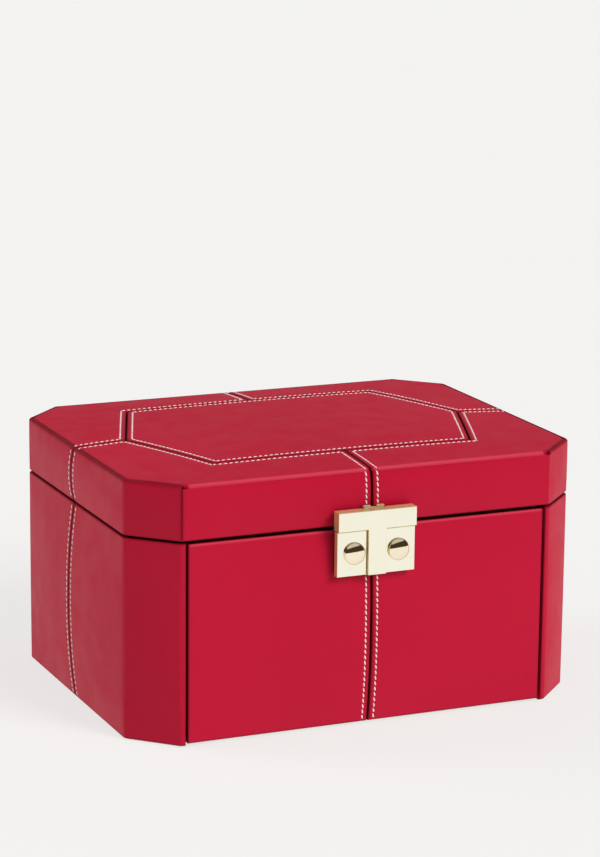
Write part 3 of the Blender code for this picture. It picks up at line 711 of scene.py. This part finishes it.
def turned_edges():
    """Leather turned in round the ends of the front and of the posts beside it."""
    front, inset, half_thick = -HALF_Y, 0.16 * MM, 0.14 * MM
    under_lip, depth, foot, post_foot, edge_round = (k * MM for k in (0.9, 6.5, 0.1, 0.3, 0.1))
    for side, hand in ((-1, "left"), (1, "right")):
        for name, body, edge, low, high in (
                (f"post_{hand}_turned_edge", "case", RETURN_EDGE, post_foot, BODY_TOP),
                (f"flap_{hand}_turned_edge", "front", FLAP_HALF, FLAP_LOW + foot, FLAP_TOP)):
            middle = side * (edge - inset)
            # the strips take the darker turned-in leather, painted shade in the gaps
            strip = solid(name, (middle - half_thick, front + under_lip, low),
                          (middle + half_thick, front + under_lip + depth, high - under_lip),
                          TURNED_SHADED, edge_round, 2)
            dress(strip, body, "leather")
    half_wide, tall, behind, before, hem_round = (k * MM for k in (3.0, 5.0, 0.03, 0.02, 0.05))
    hem = solid("flap_seam_turned_edge", (-half_wide, front + BACK + behind, FLAP_LOW + foot),
                (half_wide, front + BOARD_OUT - before, FLAP_LOW + tall), TURNED_SHADED, hem_round, 2)
    dress(hem, "front", "leather")


# ---- lid top --------------------------------------------------------------------------
def octagon(inset):
    half_x, half_y = HALF_X - inset, HALF_Y - inset
    corner = CHAMFER - inset * (2 - math.sqrt(2))
    return [(half_x - corner, -half_y), (half_x, corner - half_y),
            (half_x, half_y - corner), (half_x - corner, half_y),
            (corner - half_x, half_y), (-half_x, half_y - corner),
            (-half_x, corner - half_y), (corner - half_x, -half_y)]


def top_height(x, y):
    return LID_TOP + TOP_CROWN * swell(x, HALF_X) * swell(y, HALF_Y)


HEXAGON_EDGE = 0.7527         # the hexagon's long edge is three quarters of its length


def pad_outlines():
    """Name -> (corners anticlockwise, which edges are stitched seams)."""
    half = SEAM / 2
    tip = hexagon_high.x
    deep = hexagon_high.y
    wide = tip * HEXAGON_EDGE
    hexagon = [(tip, 0), (wide, deep), (-wide, deep), (-tip, 0), (-wide, -deep), (wide, -deep)]
    slope = math.atan2(deep, tip - wide)
    grow = SEAM
    wide_out = wide + grow * math.tan(slope / 2)
    tip_out = tip + grow / math.sin(slope) - half / math.tan(slope)
    edge = octagon(RIM_INSET)
    rear_right = [(tip_out, half), (edge[2][0], half), edge[2], edge[3], (half, edge[3][1]),
                  (half, deep + grow), (wide_out, deep + grow)]
    seams = [True, False, False, False, True, True, True]
    left_seams = [seams[(5 - k) % 7] for k in range(7)]
    # the front pads reach the arris itself: their corners slide along the chamfer's rim
    ahead = list(rear_right)
    ahead[3] = (edge[3][0] - RIM_INSET, HALF_Y)
    ahead[4] = (half, HALF_Y)

    def mirrored(points):
        return [(-x, y) for x, y in reversed(points)]

    return {
        "lid_hexagon": (hexagon, [True] * 6),
        "lid_rear_right": (rear_right, seams),
        "lid_rear_left": (mirrored(rear_right), left_seams),
        "lid_front_left": ([(-x, -y) for x, y in ahead], seams),
        "lid_front_right": ([(-x, -y) for x, y in mirrored(ahead)], left_seams),
    }


AT_FRONT = 1e-6 - HALF_Y      # a point with a lower y lies on the front arris


class TopPad:
    """A padded panel on the lid's top inside a polygon."""

    def __init__(self, name, corners, seams):
        self.name = name
        self.corners = [Vector(c) for c in corners]
        self.seams = seams
        self.count = len(corners)
        self.ends = np.array([[*self.corners[k], *self.corners[(k + 1) % self.count]]
                              for k in range(self.count)])

    def distances(self, points):
        """Distance of every point to every edge."""
        p = np.asarray(points)[:, None, :]
        a, b = self.ends[None, :, :2], self.ends[None, :, 2:]
        along = b - a
        t = np.clip(((p - a) * along).sum(2) / (along ** 2).sum(2), 0, 1)
        return np.linalg.norm(p - (a + along * t[..., None]), axis=2)

    def turned_edge(self):
        """The edge that turns down over the front arris, if this pad has it."""
        return [k for k in range(self.count)
                if max(self.ends[k][1], self.ends[k][3]) < AT_FRONT]

    def inside(self, points):
        p = np.asarray(points)
        hit = np.zeros(len(p), bool)
        for x0, y0, x1, y1 in self.ends:
            crosses = (y0 > p[:, 1]) != (y1 > p[:, 1])
            with np.errstate(divide="ignore", invalid="ignore"):
                x = (x1 - x0) * (p[:, 1] - y0) / (y1 - y0) + x0
            hit ^= crosses & (p[:, 0] < x)
        return hit

    def height(self, points):
        """Height of the leather over each point, and the distance to the cut edges."""
        d = self.distances(points)
        seam = d[:, [k for k in range(self.count) if self.seams[k]]].min(1)
        out = np.array([top_height(x, y) for x, y in points])
        turned = np.abs(np.asarray(points)[:, 1] + HALF_Y) < 2 * FRONT_ROLL
        others = np.delete(d, self.turned_edge(), 1).min(1)
        drops = np.array([roll(v, EDGE_ROLL) for v in others])
        front = np.array([roll(y + HALF_Y, FRONT_ROLL) if on else 0.0
                          for (_x, y), on in zip(points, turned)])
        out -= np.minimum(np.hypot(drops, front), FRONT_ROLL)
        out -= np.array([channel(v) for v in seam])
        return out, others

    def plan_points(self):
        """Rings of points along the edges, a grid inside, and the outer ring's length."""
        spacing, step, slack = 2.2 * MM, 3.4 * MM, 0.985
        ring = edge_samples(EDGE_ROLL, True)
        points, loop = [], 0
        for depth in ring:
            for k in range(self.count):
                a, b = self.corners[k], self.corners[(k + 1) % self.count]
                run = (b - a)
                inward = Vector((-run.y, run.x)).normalized()
                steps = max(1, round(run.length / spacing))
                for j in range(steps):
                    points.append(a + run * (j / steps) + inward * depth)
            if depth == 0:
                loop = len(points)
        points = np.array([tuple(p) for p in points])
        depths = np.concatenate([[d] * loop for d in ring])
        keep = (self.distances(points).min(1) > depths * slack - 1e-9) & (
            self.inside(points) | (depths == 0))
        rings = points[keep]
        low, high = rings.min(0), rings.max(0)
        grid = np.array([(x, y) for x in np.arange(low[0], high[0], step)
                         for y in np.arange(low[1], high[1], step)])
        fits = self.inside(grid) & (self.distances(grid).min(1) > max(ring) + 0.6 * step)
        return np.vstack([rings, grid[fits]]), loop

    def build(self):
        every, loop = self.plan_points()
        under, tucked_in = 0.3 * MM, 1.6 * MM
        edges = [(k, (k + 1) % loop) for k in range(loop)]
        found = delaunay_2d_cdt([Vector(p) for p in every], edges, [], 1, 1e-7)
        flat = np.array([tuple(v) for v in found[0]])
        tris = [tuple(t) for t in found[2]]
        heights, to_edge = self.height(flat)
        verts = [Vector((x, y, z)) for (x, y), z in zip(flat, heights)]
        # painted shade along the seams and rims; along the front arris a painted highlight
        # instead
        shade = [edge_shade(d, EDGE_ROLL) for d in to_edge]
        if self.turned_edge():
            shade = [tone if tone > DARK_SEAM else edge_highlight(y + HALF_Y, FRONT_ROLL)
                     for tone, (_x, y) in zip(shade, flat)]
        border = self.border(tris)
        lower = {}
        for a, b in border:
            for k in (a, b):
                if k not in lower:
                    lower[k] = len(verts)
                    tuck = tucked_in if flat[k][1] < AT_FRONT else 0.0
                    verts.append(Vector((flat[k][0], flat[k][1] + tuck, board_high.z + under)))
                    shade.append(1.0)
        faces = list(tris)
        faces += [(a, b, lower[b], lower[a]) for a, b in border]
        faces.append([lower[k] for k in self.walk(border)])
        obj = mesh_object(self.name + "_top_leather", verts, faces, LEATHER)
        edge_attribute(obj, shade)
        sharpen(obj, 42)
        dress(obj, "lid", "leather", self.name + "_pad")

    @staticmethod
    def border(tris):
        once = {}
        for t in tris:
            for a, b in zip(t, t[1:] + t[:1]):
                if (b, a) in once:
                    del once[(b, a)]
                else:
                    once[(a, b)] = True
        return list(once)

    @staticmethod
    def walk(border):
        follow = dict(border)
        start = border[0][0]
        chain, here = [start], follow[start]
        while here != start:
            chain.append(here)
            here = follow[here]
        return chain

    def rows(self):
        """Stitch places along every run of seam edges, mitred at the corners."""
        past_rim, past_front = -0.9 * MM, 0.4 * MM
        lines = []
        for k in range(self.count):
            a, b = self.corners[k], self.corners[(k + 1) % self.count]
            run = (b - a).normalized()
            inward = Vector((-run.y, run.x))
            depth = STITCH_EDGE if self.seams[k] else past_rim
            if k in self.turned_edge():
                depth = past_front
            lines.append((a + inward * depth, run))

        def meet(p, q):
            (a, u), (b, v) = p, q
            cross = u.x * v.y - u.y * v.x
            t = ((b.x - a.x) * v.y - (b.y - a.y) * v.x) / cross
            return a + u * t

        places = []
        for k in range(self.count):
            if not self.seams[k]:
                continue
            a = meet(lines[k - 1], lines[k])
            b = meet(lines[k], lines[(k + 1) % self.count])
            run = b - a
            steps = max(1, round(run.length / STITCH_PITCH))
            spots = [a + run * ((j + 0.5) / steps) for j in range(steps)]
            probe = STITCH_PITCH / 4
            ahead = [p + run.normalized() * probe for p in spots]
            behind = [p - run.normalized() * probe for p in spots]
            level = self.height([tuple(p) for p in spots])[0]
            up = self.height([tuple(p) for p in ahead])[0]
            down = self.height([tuple(p) for p in behind])[0]
            for p, z, high, low in zip(spots, level, up, down):
                along = Vector((*(run.normalized() * 2 * probe), high - low))
                places.append(stitch_frame(Vector((p.x, p.y, z)), along, Vector((0, 0, 1))))
        return places


def lid_top():
    for name, (corners, seams) in pad_outlines().items():
        pad = TopPad(name, corners, seams)
        pad.build()
        stitches(name + "_top_stitches", pad.rows(), "lid")


# ---- fittings -------------------------------------------------------------------------
def solid(name, low, high, mat, width=0.35 * MM, segments=4):
    """A block with finely rounded edges."""
    bpy.ops.mesh.primitive_cube_add(size=1.0)
    obj = bpy.context.object
    obj.name = name
    for vert in obj.data.vertices:
        for k in range(3):
            vert.co[k] = vert.co[k] * (high[k] - low[k]) + (high[k] + low[k]) / 2
    obj.data.materials.clear()
    obj.data.materials.append(mat)
    if width:
        round_edges(obj, width, segments)
    return obj


def round_edges(obj, width, segments=4):
    mod = obj.modifiers.new("round", "BEVEL")
    mod.width = width
    mod.segments = segments
    mod.limit_method = "ANGLE"
    mod.angle_limit = math.radians(35)
    mod.harden_normals = True
    obj.data.shade_smooth()
    return obj


def combine(obj, tool, operation):
    """Cut or join at once, and drop the tool."""
    mod = obj.modifiers.new("join", "BOOLEAN")
    mod.operation = operation
    mod.solver = "EXACT"
    mod.object = tool
    bake(obj)
    bpy.data.objects.remove(tool, do_unlink=True)
    return obj


def bake(obj):
    """Apply the object's modifiers to its mesh."""
    bpy.context.view_layer.update()
    graph = bpy.context.evaluated_depsgraph_get()
    mesh = bpy.data.meshes.new_from_object(obj.evaluated_get(graph))
    obj.modifiers.clear()
    obj.data = mesh
    return obj


def lathe(name, profile, centre, mat):
    """A turned piece whose axis is -Y: profile is (radius, distance out)."""
    steps = 72
    verts, faces = [], []
    for radius, out in profile:
        for k in range(steps):
            angle = math.tau * k / steps
            verts.append(Vector((centre[0] + radius * math.cos(angle), centre[1] - out,
                                 centre[2] + radius * math.sin(angle))))
    for i in range(len(profile) - 1):
        for k in range(steps):
            a, b = i * steps + k, i * steps + (k + 1) % steps
            faces.append((a, b, b + steps, a + steps))
    faces.append(tuple(range(steps)))
    faces.append(tuple((len(profile) - 1) * steps + k for k in range(steps)))
    obj = mesh_object(name, verts, faces, mat)
    sharpen(obj, 40)
    return obj


def cad(node, mat, width=None, segments=3):
    """A CAD node that stays: it takes a finished material and, if asked, eased edges."""
    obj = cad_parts[node]
    obj.data.materials.clear()
    obj.data.materials.append(mat)
    weld = obj.modifiers.new("weld", "WELD")
    weld.merge_threshold = 1e-6
    if width:
        flat = obj.modifiers.new("flat", "DECIMATE")
        flat.decimate_type = "DISSOLVE"
        flat.angle_limit = math.radians(1)
        round_edges(obj, width, segments)
    return obj


def shade_flanks(obj):
    """A brushed copy of the gilt, its darker browner colour painted shade, on every face that
    looks sideways, up or down.
    """
    obj.data.materials.append(FLANK_SHADED)
    for face in obj.data.polygons:
        if abs(face.normal.y) < 0.5:
            face.material_index = len(obj.data.materials) - 1
    return obj


def hasp():
    """The T-shaped hasp, with the recess in its bar that takes the keeper."""
    low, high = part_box("hasp")
    keeper_low, keeper_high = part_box("keeper")
    bar_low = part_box("lock_block_left")[1].z + 0.5 * MM
    stem, stem_thick, overlap = 5.1 * MM, 4.1 * MM, 2 * MM
    beside, ahead, below, through = 0.5 * MM, 0.3 * MM, 0.6 * MM, 5 * MM
    bar = solid("hasp_gilt", (low.x, low.y, bar_low), high, GILT, 0)
    foot = solid("foot", (-stem, low.y, low.z), (stem, low.y + stem_thick, bar_low + overlap),
                 GILT, 0)
    combine(bar, foot, "UNION")
    recess = solid("recess",
                   (keeper_low.x - beside, keeper_low.y - ahead, keeper_low.z - below),
                   (keeper_high.x + beside, high.y + through, high.z + through), GILT, 0)
    combine(bar, recess, "DIFFERENCE")
    round_edges(shade_flanks(bar), 0.30 * MM)
    dress(bar, "hasp_body", "gold", "hasp")


def clasp():
    hasp()
    stud_low, stud_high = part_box("stud_left")
    slot_in, slot_out, slot_half, slot_deep = 2.3 * MM, 4.3 * MM, 2.3 * MM, 2.6 * MM
    through = 1 * MM                        # how far the cutting blocks reach past a piece
    for side, hand, body in ((-1, "left", "left_stud"), (1, "right", "right_stud")):
        low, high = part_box(f"lock_block_{hand}")
        block = solid(f"lock_block_{hand}_gilt", low, high, GILT, 0)
        centre = (side * abs(stud_low.x + stud_high.x) / 2, low.y, (stud_low.z + stud_high.z) / 2)
        reach = sorted((centre[0] - side * slot_in, centre[0] + side * slot_out))
        slot = solid("slot", (reach[0], low.y - through, centre[2] - slot_half),
                     (reach[1], low.y + slot_deep, centre[2] + slot_half), GILT, 0)
        combine(block, slot, "DIFFERENCE")
        round_edges(shade_flanks(block), 0.28 * MM)
        dress(block, "front", "gold", f"lock_block_{hand}")
        stud = lathe(f"stud_{hand}_dome", stud_profile(), centre, POLISHED)
        dress(stud, body, "gold", f"stud_{hand}")
    low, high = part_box("keeper")
    notch_half, notch_deep = 1.6 * MM, 1.0 * MM
    keeper = solid("keeper_gilt", low, high, GILT, 0)
    notch = solid("notch", (-notch_half, low.y - through, high.z - notch_deep),
                  (notch_half, high.y + through, high.z + through), GILT, 0)
    combine(keeper, notch, "DIFFERENCE")
    round_edges(shade_flanks(keeper), 0.45 * MM)
    dress(keeper, "lid", "gold", "keeper")
    cad("lock_plate", GILT)
    cad("hasp_pin", BRASS)


def stud_profile():
    neck, under, radius, height, lip = 1.9 * MM, 0.3 * MM, 5.9 * MM, 2.7 * MM, 0.45 * MM
    profile = [(neck, -2.2 * MM), (neck, under), (radius - 0.2 * MM, under),
               (radius, under + 0.2 * MM), (radius, under + lip)]
    steps = 16
    for k in range(1, steps):
        turn = math.pi / 2 * k / steps
        profile.append((radius * math.cos(turn), under + lip + height * math.sin(turn)))
    profile.append((0.02 * MM, under + lip + height))
    return profile


class Quilt:
    """A padded rectangle with rolled edges and a stitched border, on the plane of u and v."""

    def __init__(self, name, corner, u, v, size, depth, crown):
        self.name, self.corner, self.size = name, Vector(corner), size
        self.u, self.v = Vector(u), Vector(v)
        self.normal = self.u.cross(self.v)
        self.depth, self.crown = depth, crown
        self.edge = min(depth * 0.9, EDGE_ROLL)

    def surface(self, a, b):
        """Place on the front, a along u and b along v."""
        near = (a, self.size[0] - a, b, self.size[1] - b)
        drop = min(math.sqrt(sum(roll(d, self.edge) ** 2 for d in near)), self.edge)
        half_a, half_b = self.size[0] / 2, self.size[1] / 2
        out = self.depth - drop - channel(min(near))
        out += self.crown * swell(a - half_a, half_a) * swell(b - half_b, half_b)
        return self.corner + self.u * a + self.v * b + self.normal * out

    def samples(self, size):
        near = edge_samples(self.edge, True)
        steps = 18
        inner = [max(near) + (size - 2 * max(near)) * k / steps for k in range(1, steps)]
        return sorted(near + [size - d for d in near] + inner)

    def build(self, body, slot, *nodes):
        across, up = self.samples(self.size[0]), self.samples(self.size[1])
        rows, cols = len(up), len(across)
        verts = [self.surface(a, b) for a in across for b in up]
        faces = [(i * rows + j, (i + 1) * rows + j, (i + 1) * rows + j + 1, i * rows + j + 1)
                 for i in range(cols - 1) for j in range(rows - 1)]
        rim = rim_of(rows, cols)
        start = len(verts)
        for k in rim:
            a, b = across[k // rows], up[k % rows]
            verts.append(self.corner + self.u * a + self.v * b)
        count = len(rim)
        faces += [(rim[k], start + k, start + (k + 1) % count, rim[(k + 1) % count])
                  for k in range(count)]
        faces.append(tuple(start + k for k in reversed(range(count))))
        obj = mesh_object(self.name, verts, faces, SUEDE)
        sharpen(obj, 60)
        dress(obj, body, slot, *nodes)
        stitches(self.name + "_stitches", self.border(), body)

    def border(self):
        places = []
        (wide, tall), inset = self.size, STITCH_EDGE
        corners = [(inset, inset), (wide - inset, inset), (wide - inset, tall - inset),
                   (inset, tall - inset)]
        for k, (a0, b0) in enumerate(corners):
            a1, b1 = corners[(k + 1) % 4]
            length = math.hypot(a1 - a0, b1 - b0)
            steps = round(length / STITCH_PITCH)
            for j in range(steps):
                t = (j + 0.5) / steps
                ahead, behind = t + 0.25 / steps, t - 0.25 / steps
                here, high, low = (self.surface(a0 + (a1 - a0) * q, b0 + (b1 - b0) * q)
                                   for q in (t, ahead, behind))
                places.append(stitch_frame(here, high - low, self.normal))
        return places


def drawer_fronts():
    margin, ahead, depth, crown = 0.6 * MM, 0.02 * MM, 1.6 * MM, 0.5 * MM
    for name in ("lower_drawer", "upper_drawer"):
        low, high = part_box(name)
        size = (high.x - low.x - 2 * margin, high.z - low.z - 2 * margin)
        Quilt(name + "_front_pad", (low.x + margin, low.y - ahead, low.z + margin),
              (1, 0, 0), (0, 0, 1), size, depth, crown).build("case", "suede")


def flap_inside():
    low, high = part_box("flap_lining")
    crown = 1.4 * MM
    quilt = Quilt("flap_lining_pad", (high.x, low.y, low.z), (-1, 0, 0), (0, 0, 1),
                  (high.x - low.x, high.z - low.z), high.y - low.y, crown)
    quilt.build("front", "suede", "flap_lining")


# ---- ring cushion ---------------------------------------------------------------------
ROLLS = 5
ROLL_PITCH = 16.0 * MM
ROLL_RADIUS = 6.3 * MM
ROLL_AXIS = 16.0 * MM
CUSHION_BASE = 11.4 * MM
SWELL_CAP = 1.3 * MM
PRESSURE = 4.0
LAST_FRAME = 20
BED_VOXEL, ROLL_VOXEL = 3.0 * MM, 1.9 * MM


def soft_start(name, low, high, radius, voxel):
    """A rounded block, remeshed evenly, that the cloth solver can inflate."""
    obj = solid(name, low, high, SUEDE_DARK, radius, 5)
    bake(obj)
    fine = obj.modifiers.new("even", "REMESH")
    fine.mode = "VOXEL"
    fine.voxel_size = voxel
    return bake(obj)


def inflate(pieces):
    """Let air into the pieces, then keep every point within SWELL_CAP of its start."""
    scene = bpy.context.scene
    starts = {}
    for obj in pieces:
        starts[obj.name] = [v.co.copy() for v in obj.data.vertices]
        cloth = obj.modifiers.new("air", "CLOTH")
        cloth.settings.use_pressure = True
        cloth.settings.uniform_pressure_force = PRESSURE
        cloth.settings.effector_weights.gravity = 0.0
        cloth.settings.quality = 6
        cloth.point_cache.frame_start = 1
        cloth.point_cache.frame_end = LAST_FRAME
    for step in range(1, LAST_FRAME + 1):
        scene.frame_set(step)
    for obj in pieces:
        bake(obj)
        for vert, start in zip(obj.data.vertices, starts[obj.name]):
            move = vert.co - start
            if move.length > SWELL_CAP:
                vert.co = start + move * (SWELL_CAP / move.length)
    scene.frame_set(1)


def ring_cushion():
    low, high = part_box("ring_cushion")
    middle, floor = (low.y + high.y) / 2, low.z + 0.1 * MM
    edge = SWELL_CAP * 0.75
    bed_round, end_gap, half = 2.2 * MM, 2 * MM, ROLL_RADIUS - edge
    pieces = [soft_start("ring_cushion_bed", (low.x + edge, low.y + edge, floor),
                         (high.x - edge, high.y - edge, low.z + CUSHION_BASE - edge),
                         bed_round, BED_VOXEL)]
    for k in range(ROLLS):
        y, z = middle + (k - (ROLLS - 1) / 2) * ROLL_PITCH, low.z + ROLL_AXIS
        pieces.append(soft_start(f"ring_roll_{k + 1}",
                                 (low.x + end_gap, y - half, z - half),
                                 (high.x - end_gap, y + half, z + half),
                                 half * 0.85, ROLL_VOXEL))
    inflate(pieces)
    for k, obj in enumerate(pieces):
        ease = obj.modifiers.new("ease", "SMOOTH")
        ease.factor = 0.5
        ease.iterations = 2
        fine = obj.modifiers.new("fine", "SUBSURF")
        fine.levels = fine.render_levels = 1
        bake(obj)
        obj.data.shade_smooth()
        for vert in obj.data.vertices:
            vert.co.z = max(vert.co.z, floor)
        dress(obj, "case", "suede", *(("ring_cushion",) if k == 0 else ()))


def line_inside(obj):
    """Suede on the faces of a board that look into the case, leather on its edges."""
    margin = 1.0 * MM
    obj.data.materials.append(SUEDE)
    mesh = obj.data
    low = min(v.co.z for v in mesh.vertices)
    for face in mesh.polygons:
        across = Vector((face.center.x + obj.location.x, face.center.y + obj.location.y))
        inward = face.normal.x * across.x + face.normal.y * across.y < -1e-6
        if inward or (face.normal.z < -0.5 and face.center.z > low + margin):
            face.material_index = 1


def frame_materials():
    """Every CAD node that stays on show."""
    # the boards take the darker turned-in leather, painted shade where they show in gaps
    for node in ("left_board", "right_board", "rear_board", "front_left_post",
                 "front_right_post", "rear_left_post", "rear_right_post", "flap_board",
                 "lid_board", "base_board"):
        cad(node, TURNED_SHADED, 0.3 * MM, 2)
    line_inside(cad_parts["lid_board"])
    cad("base_felt", FELT)
    for node in ("left_partition", "right_partition", "drawer_shelf", "tray_deck",
                 "lid_lining", "lower_drawer", "upper_drawer"):
        cad(node, SUEDE, 0.4 * MM, 3)
    cad("top_tray", SUEDE, 0.5 * MM, 3)
    turned = [(f"{hinge}_{piece}", BRASS) for hinge, other in
              (("hinge_left", "lid"), ("hinge_right", "lid"), ("flap_hinge", "front"))
              for piece in ("body_leaf", other + "_leaf", "pin")]
    for node, mat in turned + [("lower_drawer_knob", POLISHED), ("upper_drawer_knob", POLISHED)]:
        obj = cad(node, mat)
        obj.data.shade_smooth()
        sharpen(obj, 35)
    cad("mirror", MIRROR)
    cad("mirror_frame", GILT, 0.3 * MM, 3)


# ---- studio ---------------------------------------------------------------------------
def studio():
    bpy.ops.mesh.primitive_plane_add(size=FLOOR_SIZE, location=(0, 0, 0))
    floor = bpy.context.object
    floor.name = "studio_floor"
    floor.data.materials.append(floor_material())
    studio_world()
    for name, toward, power, spread in LIGHTS:
        data = bpy.data.lights.new(name, "SUN")
        data.energy = power
        data.angle = math.radians(spread)
        lamp = bpy.data.objects.new(name, data)
        lamp.location = Vector(toward) * 5
        lamp.visible_glossy = False         # the polished studs show the room instead
        lamp.rotation_mode = "QUATERNION"
        lamp.rotation_quaternion = (-Vector(toward)).to_track_quat("-Z", "Y")
        bpy.context.scene.collection.objects.link(lamp)
    bpy.context.scene.view_settings.view_transform = "Standard"


def studio_world():
    """What the room shows in reflections: a dim room, a bright ceiling, a pale rear wall."""
    world = bpy.data.worlds.new("studio")
    bpy.context.scene.world = world
    world.use_nodes = True
    tree = world.node_tree
    coord = tree.nodes.new("ShaderNodeTexCoord")
    parts = tree.nodes.new("ShaderNodeSeparateXYZ")
    tree.links.new(coord.outputs["Generated"], parts.inputs[0])

    def ramp(source, low, high, first, second, first_tint=NEUTRAL):
        node = tree.nodes.new("ShaderNodeValToRGB")
        tree.links.new(source, node.inputs["Fac"])
        for element, position, shade, tint in zip(node.color_ramp.elements, (low, high),
                                                  (first, second), (first_tint, NEUTRAL)):
            element.position = position
            element.color = tuple(shade * part for part in tint) + (1.0,)
        return node.outputs["Color"]

    room = ramp(parts.outputs["Z"], *ROOM, WARM)
    behind = ramp(parts.outputs["Y"], REAR_START, REAR_END, 0.0, 1.0)
    mix = tree.nodes.new("ShaderNodeMix")
    mix.data_type = "RGBA"
    mix.inputs[7].default_value = REAR_WALL
    tree.links.new(behind, mix.inputs[0])
    tree.links.new(room, mix.inputs[6])
    tree.links.new(mix.outputs[2], tree.nodes["Background"].inputs["Color"])


def camera():
    data = bpy.data.cameras.new("camera")
    data.lens = LENS
    data.sensor_width = SENSOR
    cam = bpy.data.objects.new("camera", data)
    cam.location = CAMERA_AT
    cam.rotation_euler = [math.radians(a) for a in CAMERA_TURN]
    bpy.context.scene.collection.objects.link(cam)
    bpy.context.scene.camera = cam


def main():
    camera()
    body_panels()
    flap_panels()
    lid_walls()
    turned_edges()
    lid_top()
    clasp()
    drawer_fronts()
    flap_inside()
    ring_cushion()
    frame_materials()
    studio()


main()
bpy.context.view_layer.update()
